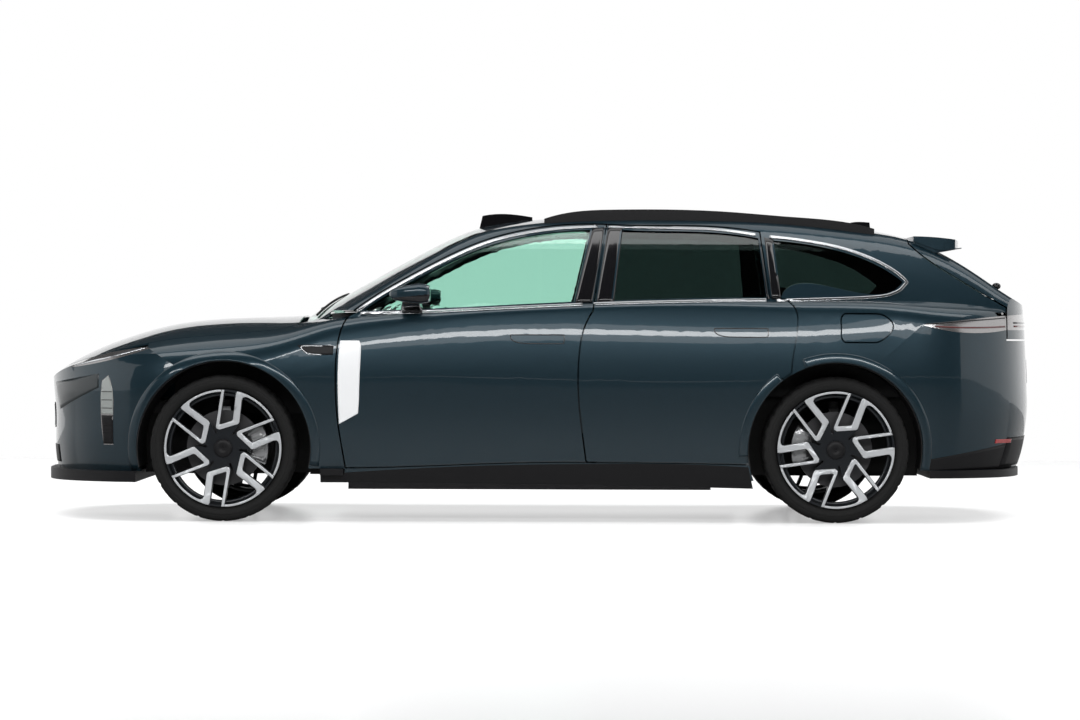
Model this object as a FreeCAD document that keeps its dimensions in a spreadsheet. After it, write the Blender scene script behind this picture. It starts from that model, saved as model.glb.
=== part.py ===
import FreeCAD, Part
import math
import os

# Station wagon, millimetres. +X runs to the tail, +Y to the car's right, +Z up; the origin is on
# the floor in the middle of the car's length and width.

V = FreeCAD.Vector
doc = FreeCAD.newDocument("StationWagon")

# Driving sizes

SIZES = {
    "front_overhang": 904,
    "wheelbase": 2888,
    "rear_overhang": 1000,
    "half_width": 980,
    "body_height": 1500,
    "tyre_radius": 345,
    "tyre_width": 245,
    "rim_radius": 277,
    "wheel_track": 1684,
    "disc_radius": 178,
    "disc_thickness": 30,
    "hub_radius": 78,
    "axle_radius": 34,
    "running_gap": 6,
    "arch_radius": 412,
    "arch_gap": 12,
    "wheelhouse_inner": 500,
    "rear_wheelhouse_inner": 680,
    "kingpin_inboard": 72,
    "shut_gap": 7,
    "door_thickness": 112,
    "frame_thickness": 42,
    "flange_thickness": 18,
    "flange_width": 42,
    "seal_gap": 7,
    "glass_thickness": 5,
    "glass_inset": 9,
    "panel_thickness": 55,
    "lid_thickness": 40,
    "floor_height": 262,
    "load_floor_height": 600,
    "battery_height": 110,
    "battery_width": 1360,
    "seat_width": 500,
    "seat_pitch": 780,
    "seat_gap": 0.3,
    "overrun": 300,
    "sill_inner": 725,
    "skirt_inner": 850,
    "liner_thickness": 4,
    "liner_outer": 905,
    "plate_thickness": 8,
    "beam": 60,
    "rail_height": 500,
    "ball_radius": 28,
    "arm_width": 70,
    "arm_height": 30,
    "upright_inner": 745,
    "upright_width": 46,
    "upright_height": 300,
    "caliper_radius": 208,
    "caliper_depth": 78,
    "rim_depth": 218,
    "rim_wall": 9,
    "spoke_depth": 30,
    "rail_width": 34,
    "rail_middle": 537,
    "pod_width": 300,
    "fin_width": 60,
    "wheel_rim_radius": 180,
    "wheel_rim_thickness": 15,
    "cushion_height": 150,
    "backrest_thickness": 130,
    "seat_offset": 370,
    "mirror_reach": 1070,
    "flap_thickness": 4,
    "motor_radius": 150,
    "motor_length": 520,
    "joint_tolerance": 0.0001,
    "cabin_half_width": 832,
    "load_half_width": 640,
    "hinge_setback": 60,
    "hinge_depth": 12,
    "hinge_pocket": 88,
    "hinge_room": 30,
    "gate_setback": 40,
    "gate_hinge_depth": 8,
    "striker_radius": 8,
    "lid_rim": 8,
    "skin_edge": 4,
    "fender_inner": 700,
    "bumper_wall": 60,
    "windscreen_thickness": 6,
    "roof_thickness": 30,
    "lamp_depth": 30,
}


def write_sheet(sizes):
    sheet = doc.addObject("Spreadsheet::Sheet", "Sizes")
    for row, (name, value) in enumerate(sizes.items(), start=1):
        sheet.set("A%d" % row, name)
        sheet.set("B%d" % row, str(value))
        sheet.setAlias("B%d" % row, name)
    doc.recompute()
    return sheet


SHEET = write_sheet(SIZES)


def size(name):
    return float(SHEET.get(name))


# Where the outlines lie. A station share runs from -1 at the nose over 0 at the front axle and 1
# at the rear axle to 2 at the tail, so that outlines follow the axles.

FRONT_AXLE = size("front_overhang") - (size("front_overhang") + size("wheelbase") + size("rear_overhang")) / 2
REAR_AXLE = FRONT_AXLE + size("wheelbase")


def along(share):
    if share < 0:
        return FRONT_AXLE + share * size("front_overhang")
    if share > 1:
        return REAR_AXLE + (share - 1) * size("rear_overhang")
    return FRONT_AXLE + share * size("wheelbase")


def up(share):
    return share * size("body_height")


def out(share):
    return share * size("half_width")


def natural_curve(shares):
    """A smooth function through hand-chosen (place, value) pairs: a natural cubic spline."""
    places = [pair[0] for pair in shares]
    values = [pair[1] for pair in shares]
    last = len(places) - 1
    steps = [places[i + 1] - places[i] for i in range(last)]
    diagonal, slope, bend = [1.0], [0.0], [0.0] * (last + 1)
    for i in range(1, last):
        change = 3 * ((values[i + 1] - values[i]) / steps[i] - (values[i] - values[i - 1]) / steps[i - 1])
        pivot = 2 * (steps[i] + steps[i - 1]) - steps[i - 1] * (slope[i - 1])
        diagonal.append(pivot)
        slope.append(steps[i] / pivot)
        bend[i] = (change - steps[i - 1] * bend[i - 1]) / pivot
    for i in range(last - 1, 0, -1):
        bend[i] = bend[i] - slope[i] * bend[i + 1]

    def at(place):
        i = max(0, min(last - 1, sum(p <= place for p in places) - 1))
        run = place - places[i]
        if place < places[0] or place > places[last]:
            run = min(max(place, places[0]), places[last]) - places[i]
        rise = (values[i + 1] - values[i]) / steps[i] - steps[i] * (2 * bend[i] + bend[i + 1]) / 3
        inside = values[i] + run * (rise + run * (bend[i] + run * (bend[i + 1] - bend[i]) / (3 * steps[i])))
        beyond = place - places[i] - run
        return inside + beyond * (rise + run * (2 * bend[i] + run * (bend[i + 1] - bend[i]) / steps[i]))

    return at


def lengthwise(shares):
    """A curve over x from (station share, value) pairs."""
    return natural_curve([(along(place), value) for place, value in shares])


def upward(shares):
    """A curve over z from (height share, value) pairs."""
    return natural_curve([(up(place), value) for place, value in shares])


# Master curves of the skin

deck_height = lengthwise([
    (place, up(height)) for place, height in (
        (-1.05, 0.400), (-0.999, 0.439), (-0.946, 0.473), (-0.852, 0.509), (-0.763, 0.537), (-0.598, 0.577),
        (-0.473, 0.601), (-0.310, 0.624), (-0.184, 0.634), (0.002, 0.642), (0.100, 0.649), (0.150, 0.655),
        (0.337, 0.672), (0.606, 0.696), (0.811, 0.710), (0.95, 0.713), (1.18, 0.722), (1.45, 0.728),
        (1.70, 0.722), (1.85, 0.704), (1.965, 0.680), (2.05, 0.655),
    )
])
deck_crown = lengthwise([
    (place, up(height)) for place, height in (
        (-1.05, 0.070), (-0.5, 0.077), (0.0, 0.077), (0.10, 0.060), (0.17, 0.030), (0.25, 0.017), (0.9, 0.017),
        (1.3, 0.035), (1.6, 0.065), (2.05, 0.080),
    )
])
deck_roll = lengthwise([
    (place, up(height)) for place, height in (
        (-1.05, 0.030), (-0.5, 0.040), (0.0, 0.040), (0.12, 0.020), (0.25, 0.006), (0.9, 0.006), (1.3, 0.020),
        (2.05, 0.030),
    )
])
roof_height = lengthwise([
    (place, up(height)) for place, height in (
        (0.066, 0.587), (0.124, 0.650), (0.173, 0.703), (0.242, 0.779), (0.321, 0.862), (0.405, 0.935),
        (0.484, 0.964), (0.603, 0.980), (0.759, 0.983), (0.932, 0.969), (1.104, 0.947), (1.365, 0.917),
        (1.574, 0.857), (1.704, 0.803), (1.851, 0.737), (1.965, 0.691), (2.044, 0.657),
    )
])
nose_place = upward([
    (height, along(place)) for place, height in (
        (-0.938, 0.080), (-0.967, 0.145), (-0.985, 0.260), (-0.984, 0.333), (-0.999, 0.439), (-1.000, 0.507),
        (-0.995, 0.60),
    )
])
tail_place = upward([
    (height, along(place)) for place, height in (
        (1.880, 0.080), (1.949, 0.173), (1.985, 0.267), (2.000, 0.368), (1.996, 0.433), (1.990, 0.533),
        (1.986, 0.593), (1.975, 0.691), (1.964, 0.760),
    )
])
body_plan = lengthwise([
    (place, out(width)) for place, width in (
        (-1.05, 0.960), (-0.5, 0.972), (-0.2, 0.985), (0.0, 0.990), (0.12, 0.984), (0.3, 0.968), (0.55, 0.962),
        (0.8, 0.973), (1.0, 0.994), (1.2, 0.988), (1.5, 0.962), (2.05, 0.925),
    )
])
widest_height = lengthwise([
    (place, up(height)) for place, height in (
        (-1.05, 0.330), (-0.6, 0.380), (0.0, 0.425), (0.5, 0.427), (1.0, 0.430), (2.05, 0.425),
    )
])
shoulder_height = lengthwise([
    (place, up(height)) for place, height in (
        (-1.05, 0.425), (-0.6, 0.475), (-0.2, 0.515), (0.0, 0.528), (0.15, 0.553), (0.3, 0.575), (0.8, 0.582),
        (1.0, 0.590), (1.4, 0.604), (2.05, 0.615),
    )
])
section_share = natural_curve([
    (-0.3, 0.905), (0.0, 0.930), (0.25, 0.953), (0.5, 0.975), (0.75, 0.992), (1.0, 1.0), (1.5, 0.998),
    (2.0, 0.984), (2.5, 0.953), (3.0, 0.905), (3.6, 0.835), (4.2, 0.76), (5.0, 0.65),
])
cabin_plan = lengthwise([
    (place, out(width)) for place, width in (
        (0.05, 0.830), (0.2, 0.852), (0.35, 0.865), (0.55, 0.870), (0.75, 0.869), (0.95, 0.856), (1.2, 0.815),
        (1.45, 0.765), (1.75, 0.690), (2.05, 0.600),
    )
])

SILL_SHARE = 0.128
BELT_SHARE = 0.667
FLOOR_SHARE = 0.100
FRONT_CORNER_SHARE, FRONT_CORNER_POWER = -0.12, 2.4
REAR_CORNER_SHARE, REAR_CORNER_POWER = 1.30, 2.6


def corner_share(x, z):
    """How much of the width is left where the plan turns round the nose and the tail."""
    front, rear = along(FRONT_CORNER_SHARE), along(REAR_CORNER_SHARE)
    reach, power = 0.0, FRONT_CORNER_POWER
    if x < front:
        reach = (front - x) / (front - nose_place(z))
    elif x > rear:
        reach, power = (x - rear) / (tail_place(z) - rear), REAR_CORNER_POWER
    return max(0.0, 1 - reach ** power) ** (1 / power)


def straight_width(x, z):
    """Half width of the body at a height, without the turn round the nose and tail."""
    sill, widest, shoulder = up(SILL_SHARE), widest_height(x), shoulder_height(x)
    level = (z - sill) / (widest - sill) if z < widest else 1 + (z - widest) / (shoulder - widest)
    return body_plan(x) * section_share(level)


def side_width(x, z, inset=0.0):
    return straight_width(x, z) * corner_share(x, z) - inset


def deck(x, y, inset=0.0):
    """Height of the bonnet, or of the flat top of the lower body, at a place."""
    share = y / size("half_width")
    return deck_height(x) - deck_crown(x) * share ** 2 - deck_roll(x) * share ** 8 - inset


def cabin_width(x, z, inset=0.0):
    lift = max(z - up(BELT_SHARE), 0.0)
    return cabin_plan(x) - 0.40 * lift - 0.75 * lift * lift / size("body_height") - inset


def cabin_top(x, y, inset=0.0):
    share = y / size("half_width")
    sweep = 0.06 * size("half_width") * share ** 2
    return roof_height(x - sweep) - up(0.073) * share ** 2 - inset


# Closed solids from grids of points

def planar_cap(edges):
    wire = Part.Wire(Part.__sortEdges__(edges))
    wire.fixTolerance(size("joint_tolerance"))
    return Part.Face(wire)


def mean_places(rows):
    """Curve parameters for rows of points: the mean share of each row's length at each point."""
    places = [0.0] * len(rows[0])
    for row in rows:
        lengths = [0.0]
        for a, b in zip(row, row[1:]):
            lengths.append(lengths[-1] + a.distanceToPoint(b))
        places = [place + length / lengths[-1] / len(rows) for place, length in zip(places, lengths)]
    return places


def smooth_surface(rows):
    """A surface through a grid of points: a curve through each row, then curves through their poles."""
    across_places, along_places = mean_places(rows), mean_places(list(zip(*rows)))
    sections = [curve_at(row, across_places) for row in rows]
    columns = [curve_at(list(column), along_places) for column in zip(*[s.getPoles() for s in sections])]
    surface = Part.BSplineSurface()
    surface.buildFromPolesMultsKnots(
        [list(row) for row in zip(*[column.getPoles() for column in columns])],
        columns[0].getMultiplicities(), sections[0].getMultiplicities(),
        columns[0].getKnots(), sections[0].getKnots(), False, False, 3, 3,
    )
    return surface


def curve_at(points, places):
    curve = Part.BSplineCurve()
    curve.interpolate(Points=points, Parameters=places)
    return curve


def solid_of_sections(rows):
    """A closed solid whose skin passes through rows of points. Every row starts and ends at the
    same flat bottom, and the first and last rows are flat."""
    surface = smooth_surface(rows)
    skin = surface.toShape()
    first = surface.uIso(surface.bounds()[0]).toShape()
    last = surface.uIso(surface.bounds()[1]).toShape()
    low = surface.vIso(surface.bounds()[2]).toShape()
    high = surface.vIso(surface.bounds()[3]).toShape()
    first_foot = Part.makeLine(rows[0][0], rows[0][-1])
    last_foot = Part.makeLine(rows[-1][0], rows[-1][-1])
    faces = [
        skin,
        planar_cap([first, first_foot]),
        planar_cap([last, last_foot]),
        planar_cap([low, high, first_foot, last_foot]),
    ]
    shell = Part.makeShell(faces)
    shell.sewShape()
    solid = Part.Solid(shell)
    if solid.Volume < 0:
        solid.reverse()
    return solid


def spread(first, last, count):
    return [first + (last - first) * i / (count - 1) for i in range(count)]


def graded(first, last, count):
    """Places from first to last, whose steps shrink evenly towards the last."""
    steps = [STEP_SHARE ** i for i in range(count - 1)]
    total = sum(steps)
    places, gone = [first], 0.0
    for step in steps:
        gone += step
        places.append(first + (last - first) * gone / total)
    return places


STEP_SHARE = 0.78


def half_section(x, bottom, width_at, top_at, roll, side_points=10, top_points=9):
    """Points from the bottom edge up the side, round the shoulder and in to the middle."""
    y, z = width_at(x, bottom), top_at(x, 0.0)
    for _ in range(60):
        z = (z + top_at(x, y)) / 2
        y = (y + width_at(x, z)) / 2
    low = V(x, width_at(x, z - roll), z - roll)
    inner = V(x, y - roll, top_at(x, y - roll))
    corner = V(x, y, z)
    points = [V(x, width_at(x, level), level) for level in graded(bottom, low.z, side_points)]
    for step in (0.25, 0.5, 0.75):
        points.append(low * (1 - step) ** 2 + corner * (2 * step * (1 - step)) + inner * step ** 2)
    points += [V(x, level, top_at(x, level)) for level in reversed(graded(0.0, inner.y, top_points))]
    return points


def full_section(half):
    """Both sides of a half section, from the right foot over the middle to the left foot."""
    return half + [V(point.x, -point.y, point.z) for point in reversed(half[:-1])]




def shoulder_roll(x):
    """How far from its corner the shoulder starts to turn in."""
    return SHOULDER_ROLL(x)


SHOULDER_ROLL = lengthwise([
    (place, out(roll)) for place, roll in (
        (-0.80, 0.045), (-0.45, 0.055), (-0.10, 0.085), (0.05, 0.085), (0.20, 0.060), (0.30, 0.050), (1.00, 0.050),
        (1.30, 0.060), (1.60, 0.070), (1.85, 0.045), (2.00, 0.040),
    )
])
CABIN_ROLL_SHARE = 0.062
CABIN_FOOT_SHARE = 0.46


def lower_body(inset=0.0):
    """The skin below the belt line, from the front bumper's split to the tail lamps."""
    def width_at(x, z):
        return side_width(x, z, inset)

    def top_at(x, y):
        return deck(x, y, inset)

    return solid_of_sections([
        full_section(half_section(x, up(FLOOR_SHARE), width_at, top_at, shoulder_roll(x)))
        for x in spread(along(-0.72), along(1.88), 44)
    ])


def cabin_body(inset=0.0):
    """The windscreen, side windows, roof and tailgate glass as one smooth hood."""
    def width_at(x, z):
        return cabin_width(x, z, inset)

    def top_at(x, y):
        return cabin_top(x, y, inset)

    foot = up(CABIN_FOOT_SHARE)
    rows = []
    for x in spread(along(0.095), along(2.02), 38):
        roll = out(CABIN_ROLL_SHARE) * min(1, (top_at(x, 0) - foot) / up(0.3))
        rows.append(full_section(half_section(x, foot, width_at, top_at, roll)))
    return solid_of_sections(rows)


def end_wall(start, corner, place_at, power, inset=0.0):
    """The tall wall of the nose or the tail: level curves that turn from the sides round the end."""
    rows = []
    for z in spread(up(FLOOR_SHARE), up(0.69), 12) + [up(0.80), up(1.00)]:
        level = min(z, up(0.69))
        tip = place_at(level)
        half = [V(x, straight_width(x, level) - inset, z) for x in (start, (start * 2 + corner) / 3, (start + corner * 2) / 3)]
        for angle in spread(0, math.pi / 2, 15):
            x = corner + (tip - corner) * math.sin(angle) ** (2 / power)
            width = straight_width(x, level) * math.cos(angle) ** (2 / power)
            half.append(V(x - math.copysign(inset, tip) * math.sin(angle), max(0.0, width - inset * math.cos(angle)), z))
        half[-1].y = 0.0
        rows.append(half + [V(point.x, -point.y, point.z) for point in reversed(half[:-1])])
    surface = smooth_surface(rows)
    low = surface.uIso(surface.bounds()[0]).toShape()
    high = surface.uIso(surface.bounds()[1]).toShape()
    side_a = surface.vIso(surface.bounds()[2]).toShape()
    side_b = surface.vIso(surface.bounds()[3]).toShape()
    low_line, high_line = Part.makeLine(rows[0][0], rows[0][-1]), Part.makeLine(rows[-1][0], rows[-1][-1])
    shell = Part.makeShell([
        surface.toShape(), planar_cap([low, low_line]), planar_cap([high, high_line]),
        planar_cap([side_a, side_b, low_line, high_line]),
    ])
    shell.sewShape()
    solid = Part.Solid(shell)
    if solid.Volume < 0:
        solid.reverse()
    return solid


def under_deck(first, last, inset=0.0):
    """All that lies below the bonnet, or below the flat tail, between two stations."""
    rows = []
    for x in spread(along(first), along(last), 16):
        rows.append([V(x, y, deck(x, y, inset)) for y in spread(-out(1.05), out(1.05), 15)])
    surface = smooth_surface(rows)
    return surface.toShape().extrude(V(0, 0, -up(0.8)))


# Side-view and plan-view outlines

def curve_through(points):
    if len(points) == 2:
        return Part.LineSegment(points[0], points[1])
    curve = Part.BSplineCurve()
    curve.interpolate(points)
    return curve


def grown_runs(runs, axis, distance):
    """Moves every run of a closed outline outwards by a distance, with mitred corners."""
    if distance == 0:
        return runs
    normals = []
    for points in runs:
        curve = curve_through(points)
        tangents = [curve.tangent(curve.parameter(point))[0] for point in points]
        normals.append([tangent.cross(axis).normalize() for tangent in tangents])
    loop = [point for points in runs for point in points[:-1]]
    turning = sum((a.cross(b).dot(axis) for a, b in zip(loop, loop[1:] + loop[:1])), 0.0)
    reach = math.copysign(distance, distance * turning)
    moved = []
    for i, points in enumerate(runs):
        before, here, after = normals[i - 1][-1], normals[i], normals[(i + 1) % len(runs)][0]
        first = points[0] + (before + here[0]) * (reach / (1 + before.dot(here[0])))
        last = points[-1] + (here[-1] + after) * (reach / (1 + after.dot(here[-1])))
        room = CORNER_ROOM_SHARE * abs(distance)
        inner = [point + normal * reach for point, normal in zip(points[1:-1], here[1:-1])
                 if point.distanceToPoint(points[0]) > room and point.distanceToPoint(points[-1]) > room]
        moved.append([first] + inner + [last])
    return moved


CORNER_ROOM_SHARE = 1.6


def outline_face(runs, place, axis, grow=0.0):
    """A flat face from runs of points: two points make a line, more make a smooth curve."""
    placed = grown_runs([[place(*pair) for pair in run] for run in runs], axis, grow)
    return Part.Face(Part.Wire([curve_through(points).toShape() for points in placed]))


def side_prism(runs, grow=0.0, width=0.0):
    """A side-view outline, grown by a distance, run through the left half of the car and as far
    as a width on the right."""
    reach = size("half_width") + size("overrun")
    face = outline_face(runs, lambda place, height: V(along(place), -reach, up(height)), V(0, 1, 0), grow)
    return face.extrude(V(0, reach + width, 0))


def through_prism(runs, grow=0.0):
    """A side-view outline run through the whole width of the car."""
    return side_prism(runs, grow, size("half_width") + size("overrun"))


def plan_prism(runs, low, high, grow=0.0):
    """A plan-view outline, in station and width shares, run from one height to another."""
    face = outline_face(runs, lambda place, width: V(along(place), out(width), low), V(0, 0, 1), grow)
    return face.extrude(V(0, 0, high - low))


DOOR_SPLIT_SHARES = [
    (0.593, 0.186), (0.583, 0.329), (0.579, 0.431), (0.581, 0.533), (0.586, 0.593), (0.594, 0.635), (0.603, 0.664),
]
FRAME_SPLIT_SHARES = [(0.603, 0.664), (0.627, 0.946)]


def shifted(run, distance):
    """A run of an outline, moved along the car by a distance."""
    return [(place + distance / size("wheelbase"), height) for place, height in run]


BEFORE_SPLIT_SHARES = [shifted(run, size("shut_gap") / 2) for run in (DOOR_SPLIT_SHARES, FRAME_SPLIT_SHARES)]
BEHIND_SPLIT_SHARES = [shifted(run, -size("shut_gap") / 2) for run in (DOOR_SPLIT_SHARES, FRAME_SPLIT_SHARES)]
FRONT_DOOR_SHARES = [
    [(0.206, 0.660), (0.190, 0.601), (0.184, 0.540), (0.182, 0.450), (0.185, 0.327), (0.192, 0.234), (0.198, 0.166)],
    [(0.198, 0.166), (0.285, 0.170), (0.432, 0.181), BEFORE_SPLIT_SHARES[0][0]],
    BEFORE_SPLIT_SHARES[0],
    BEFORE_SPLIT_SHARES[1],
    [BEFORE_SPLIT_SHARES[1][-1], (0.539, 0.941), (0.467, 0.917), (0.418, 0.888), (0.367, 0.845), (0.310, 0.787), (0.253, 0.724),
     (0.206, 0.660)],
]
REAR_DOOR_SHARES = [
    BEHIND_SPLIT_SHARES[0],
    BEHIND_SPLIT_SHARES[1],
    [BEHIND_SPLIT_SHARES[1][-1], (0.748, 0.943), (0.814, 0.939), (0.882, 0.922)],
    [(0.882, 0.922), (0.895, 0.712)],
    [(0.895, 0.712), (0.923, 0.700), (0.936, 0.670), (0.938, 0.620), (0.932, 0.540), (0.928, 0.480)],
    [(0.928, 0.480), (0.928, 0.177)],
    [(0.928, 0.177), (0.810, 0.182), BEHIND_SPLIT_SHARES[0][0]],
]
FRONT_WINDOW_SHARES = [
    [(0.226, 0.663), (0.253, 0.700), (0.310, 0.763), (0.367, 0.820), (0.418, 0.864), (0.467, 0.893), (0.539, 0.918),
     (0.600, 0.926)],
    [(0.600, 0.926), (0.572, 0.694)],
    [(0.572, 0.694), (0.468, 0.684), (0.337, 0.671), (0.226, 0.663)],
]
REAR_WINDOW_SHARES = [
    [(0.652, 0.926), (0.748, 0.922), (0.814, 0.917), (0.878, 0.900)],
    [(0.878, 0.900), (0.888, 0.709)],
    [(0.888, 0.709), (0.811, 0.708), (0.636, 0.698)],
    [(0.636, 0.698), (0.652, 0.926)],
]
QUARTER_WINDOW_SHARES = [
    [(0.903, 0.893), (0.948, 0.884), (1.023, 0.862), (1.173, 0.828), (1.270, 0.793), (1.335, 0.762)],
    [(1.335, 0.762), (1.300, 0.738), (1.180, 0.721), (0.912, 0.709)],
    [(0.912, 0.709), (0.903, 0.893)],
]
PILLAR_LINE_SHARES = [(0.150, 0.636), (0.215, 0.717), (0.281, 0.789), (0.348, 0.855), (0.416, 0.916)]
ROOF_LINE_SHARES = [(0.416, 0.916), (0.525, 0.950), (0.700, 0.960), (0.912, 0.944), (1.104, 0.921), (1.372, 0.884)]
GATE_LINE_SHARES = [(1.372, 0.884), (1.441, 0.842), (1.576, 0.781), (1.693, 0.734), (1.834, 0.680)]
WINDSCREEN_REGION_SHARES = [
    PILLAR_LINE_SHARES,
    [(0.416, 0.916), (0.416, 1.02)],
    [(0.416, 1.02), (0.128, 1.02)],
    [(0.128, 1.02), (0.128, 0.615)],
    [(0.128, 0.615), (0.150, 0.636)],
]
ROOF_REGION_SHARES = [
    ROOF_LINE_SHARES,
    [(1.372, 0.884), (1.372, 1.02)],
    [(1.372, 1.02), (0.416, 1.02)],
    [(0.416, 1.02), (0.416, 0.916)],
]
GATE_REGION_SHARES = [
    GATE_LINE_SHARES,
    [(1.834, 0.680), (1.834, 0.575)],
    [(1.834, 0.575), (2.10, 0.575)],
    [(2.10, 0.575), (2.10, 1.02)],
    [(2.10, 1.02), (1.372, 1.02)],
    [(1.372, 1.02), (1.372, 0.884)],
]
REAR_BUMPER_REGION_SHARES = [
    [(1.211, 0.508), (1.405, 0.623)],
    [(1.405, 0.623), (1.566, 0.602), (1.834, 0.609)],
    [(1.834, 0.609), (1.834, 0.575)],
    [(1.834, 0.575), (2.10, 0.575)],
    [(2.10, 0.575), (2.10, 0.165)],
    [(2.10, 0.165), (1.10, 0.165)],
    [(1.10, 0.165), (1.211, 0.508)],
]
FENDER_REGION_SHARES = [
    [(-0.262, 0.492), (-0.407, 0.545)],
    [(-0.407, 0.545), (-0.407, 0.700)],
    [(-0.407, 0.700), (0.150, 0.700)],
    [(0.150, 0.700), (0.150, 0.636)],
    [(0.150, 0.636), (0.206, 0.660)],
    [(0.206, 0.660), (0.190, 0.601), (0.184, 0.540), (0.182, 0.450), (0.185, 0.327), (0.192, 0.234), (0.198, 0.166)],
    [(0.198, 0.166), (0.10, 0.166)],
    [(0.10, 0.166), (-0.262, 0.492)],
]
SIDE_REGION_SHARES = [
    [(0.198, 0.130), (0.198, 0.166)],
    [(0.198, 0.166), (0.192, 0.234), (0.185, 0.327), (0.182, 0.450), (0.184, 0.540), (0.190, 0.601), (0.206, 0.660)],
    [(0.206, 0.660), (0.150, 0.636)],
    PILLAR_LINE_SHARES,
    ROOF_LINE_SHARES,
    GATE_LINE_SHARES,
    [(1.834, 0.680), (1.834, 0.609)],
    [(1.834, 0.609), (1.566, 0.602), (1.405, 0.623)],
    [(1.405, 0.623), (1.211, 0.508)],
    [(1.211, 0.508), (1.10, 0.165)],
    [(1.10, 0.165), (0.86, 0.130)],
    [(0.86, 0.130), (0.198, 0.130)],
]
BONNET_PLAN_SHARES = [
    [(-0.930, 0.0), (-0.918, 0.20), (-0.880, 0.42), (-0.800, 0.60), (-0.680, 0.705), (-0.520, 0.760), (-0.389, 0.780)],
    [(-0.389, 0.780), (-0.150, 0.795), (0.045, 0.790), (0.120, 0.770)],
    [(0.120, 0.770), (0.120, -0.770)],
    [(0.120, -0.770), (0.045, -0.790), (-0.150, -0.795), (-0.389, -0.780)],
    [(-0.389, -0.780), (-0.520, -0.760), (-0.680, -0.705), (-0.800, -0.60), (-0.880, -0.42), (-0.918, -0.20),
     (-0.930, 0.0)],
]
FRONT_BUMPER_REGION_SHARES = [
    [(-0.262, 0.492), (-0.407, 0.545)],
    [(-0.407, 0.545), (-0.407, 0.700)],
    [(-0.407, 0.700), (-1.10, 0.700)],
    [(-1.10, 0.700), (-1.10, 0.155)],
    [(-1.10, 0.155), (-0.10, 0.155)],
    [(-0.10, 0.155), (-0.262, 0.492)],
]
HEADLAMP_SHARES = [
    [(-0.842, 0.480), (-0.591, 0.507), (-0.389, 0.543)],
    [(-0.389, 0.543), (-0.440, 0.548)],
    [(-0.440, 0.548), (-0.543, 0.540), (-0.667, 0.529), (-0.842, 0.480)],
]
TAIL_LAMP_SHARES = [
    [(1.411, 0.624), (1.566, 0.603), (1.834, 0.609)],
    [(1.834, 0.609), (1.834, 0.655)],
    [(1.834, 0.655), (1.600, 0.640), (1.411, 0.624)],
]
SPOILER_SHARES = [
    [(1.400, 0.9095), (1.500, 0.9065), (1.580, 0.901), (1.654, 0.893)],
    [(1.654, 0.893), (1.649, 0.873)],
    [(1.649, 0.873), (1.570, 0.866), (1.500, 0.868)],
    [(1.500, 0.868), (1.400, 0.895)],
    [(1.400, 0.895), (1.400, 0.9095)],
]
SPOILER_PLAN_SHARES = [
    [(1.380, 0.560), (1.500, 0.590), (1.600, 0.580)],
    [(1.600, 0.580), (1.640, 0.350), (1.656, 0.0), (1.640, -0.350), (1.600, -0.580)],
    [(1.600, -0.580), (1.500, -0.590), (1.380, -0.560)],
    [(1.380, -0.560), (1.380, 0.560)],
]
CORNER_LAMP_SHARES = [
    [(-0.648, 0.440), (-0.655, 0.380), (-0.640, 0.237)],
    [(-0.640, 0.237), (-0.585, 0.237)],
    [(-0.585, 0.237), (-0.585, 0.330), (-0.590, 0.420), (-0.612, 0.457)],
    [(-0.612, 0.457), (-0.648, 0.440)],
]
GATE_LAMP_SHARES = [
    [(1.834, 0.609), (2.10, 0.609)],
    [(2.10, 0.609), (2.10, 0.668)],
    [(2.10, 0.668), (1.834, 0.655)],
    [(1.834, 0.655), (1.834, 0.609)],
]
GATE_WINDOW_SHARES = [
    [(-0.500, 0.864), (0.0, 0.872), (0.500, 0.864)],
    [(0.500, 0.864), (0.585, 0.738)],
    [(0.585, 0.738), (0.0, 0.728), (-0.585, 0.738)],
    [(-0.585, 0.738), (-0.500, 0.864)],
]
CHARGE_FLAP_SHARES = [
    [(1.040, 0.566), (1.022, 0.580), (1.020, 0.614), (1.022, 0.648), (1.040, 0.661)],
    [(1.040, 0.661), (1.190, 0.661)],
    [(1.190, 0.661), (1.240, 0.650), (1.272, 0.622), (1.240, 0.585), (1.190, 0.566)],
    [(1.190, 0.566), (1.040, 0.566)],
]


SKIRT_SHARES = [
    [(0.158, 0.148), (0.285, 0.164), (0.432, 0.177), (0.588, 0.183), (0.810, 0.179), (0.858, 0.174)],
    [(0.858, 0.174), (0.866, 0.106)],
    [(0.866, 0.106), (0.500, 0.118), (0.158, 0.122)],
    [(0.158, 0.122), (0.158, 0.148)],
]
SPLITTER_PLAN_SHARES = [
    [(-1.007, 0.0), (-0.995, 0.25), (-0.945, 0.50), (-0.85, 0.68), (-0.70, 0.82), (-0.46, 0.925)],
    [(-0.46, 0.925), (-0.46, -0.925)],
    [(-0.46, -0.925), (-0.70, -0.82), (-0.85, -0.68), (-0.945, -0.50), (-0.995, -0.25), (-1.007, 0.0)],
]
DIFFUSER_PLAN_SHARES = [
    [(1.955, 0.0), (1.945, 0.25), (1.90, 0.50), (1.82, 0.68), (1.68, 0.82), (1.45, 0.90)],
    [(1.45, 0.90), (1.45, -0.90)],
    [(1.45, -0.90), (1.68, -0.82), (1.82, -0.68), (1.90, -0.50), (1.945, -0.25), (1.955, 0.0)],
]
RAIL_SHARES = [
    [(0.523, 0.962), (0.571, 0.984), (0.640, 0.992), (0.724, 0.993), (0.830, 0.986), (0.930, 0.971), (1.100, 0.951),
     (1.212, 0.933)],
    [(1.212, 0.933), (1.212, 0.850)],
    [(1.212, 0.850), (0.523, 0.850)],
    [(0.523, 0.850), (0.523, 0.962)],
]
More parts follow.
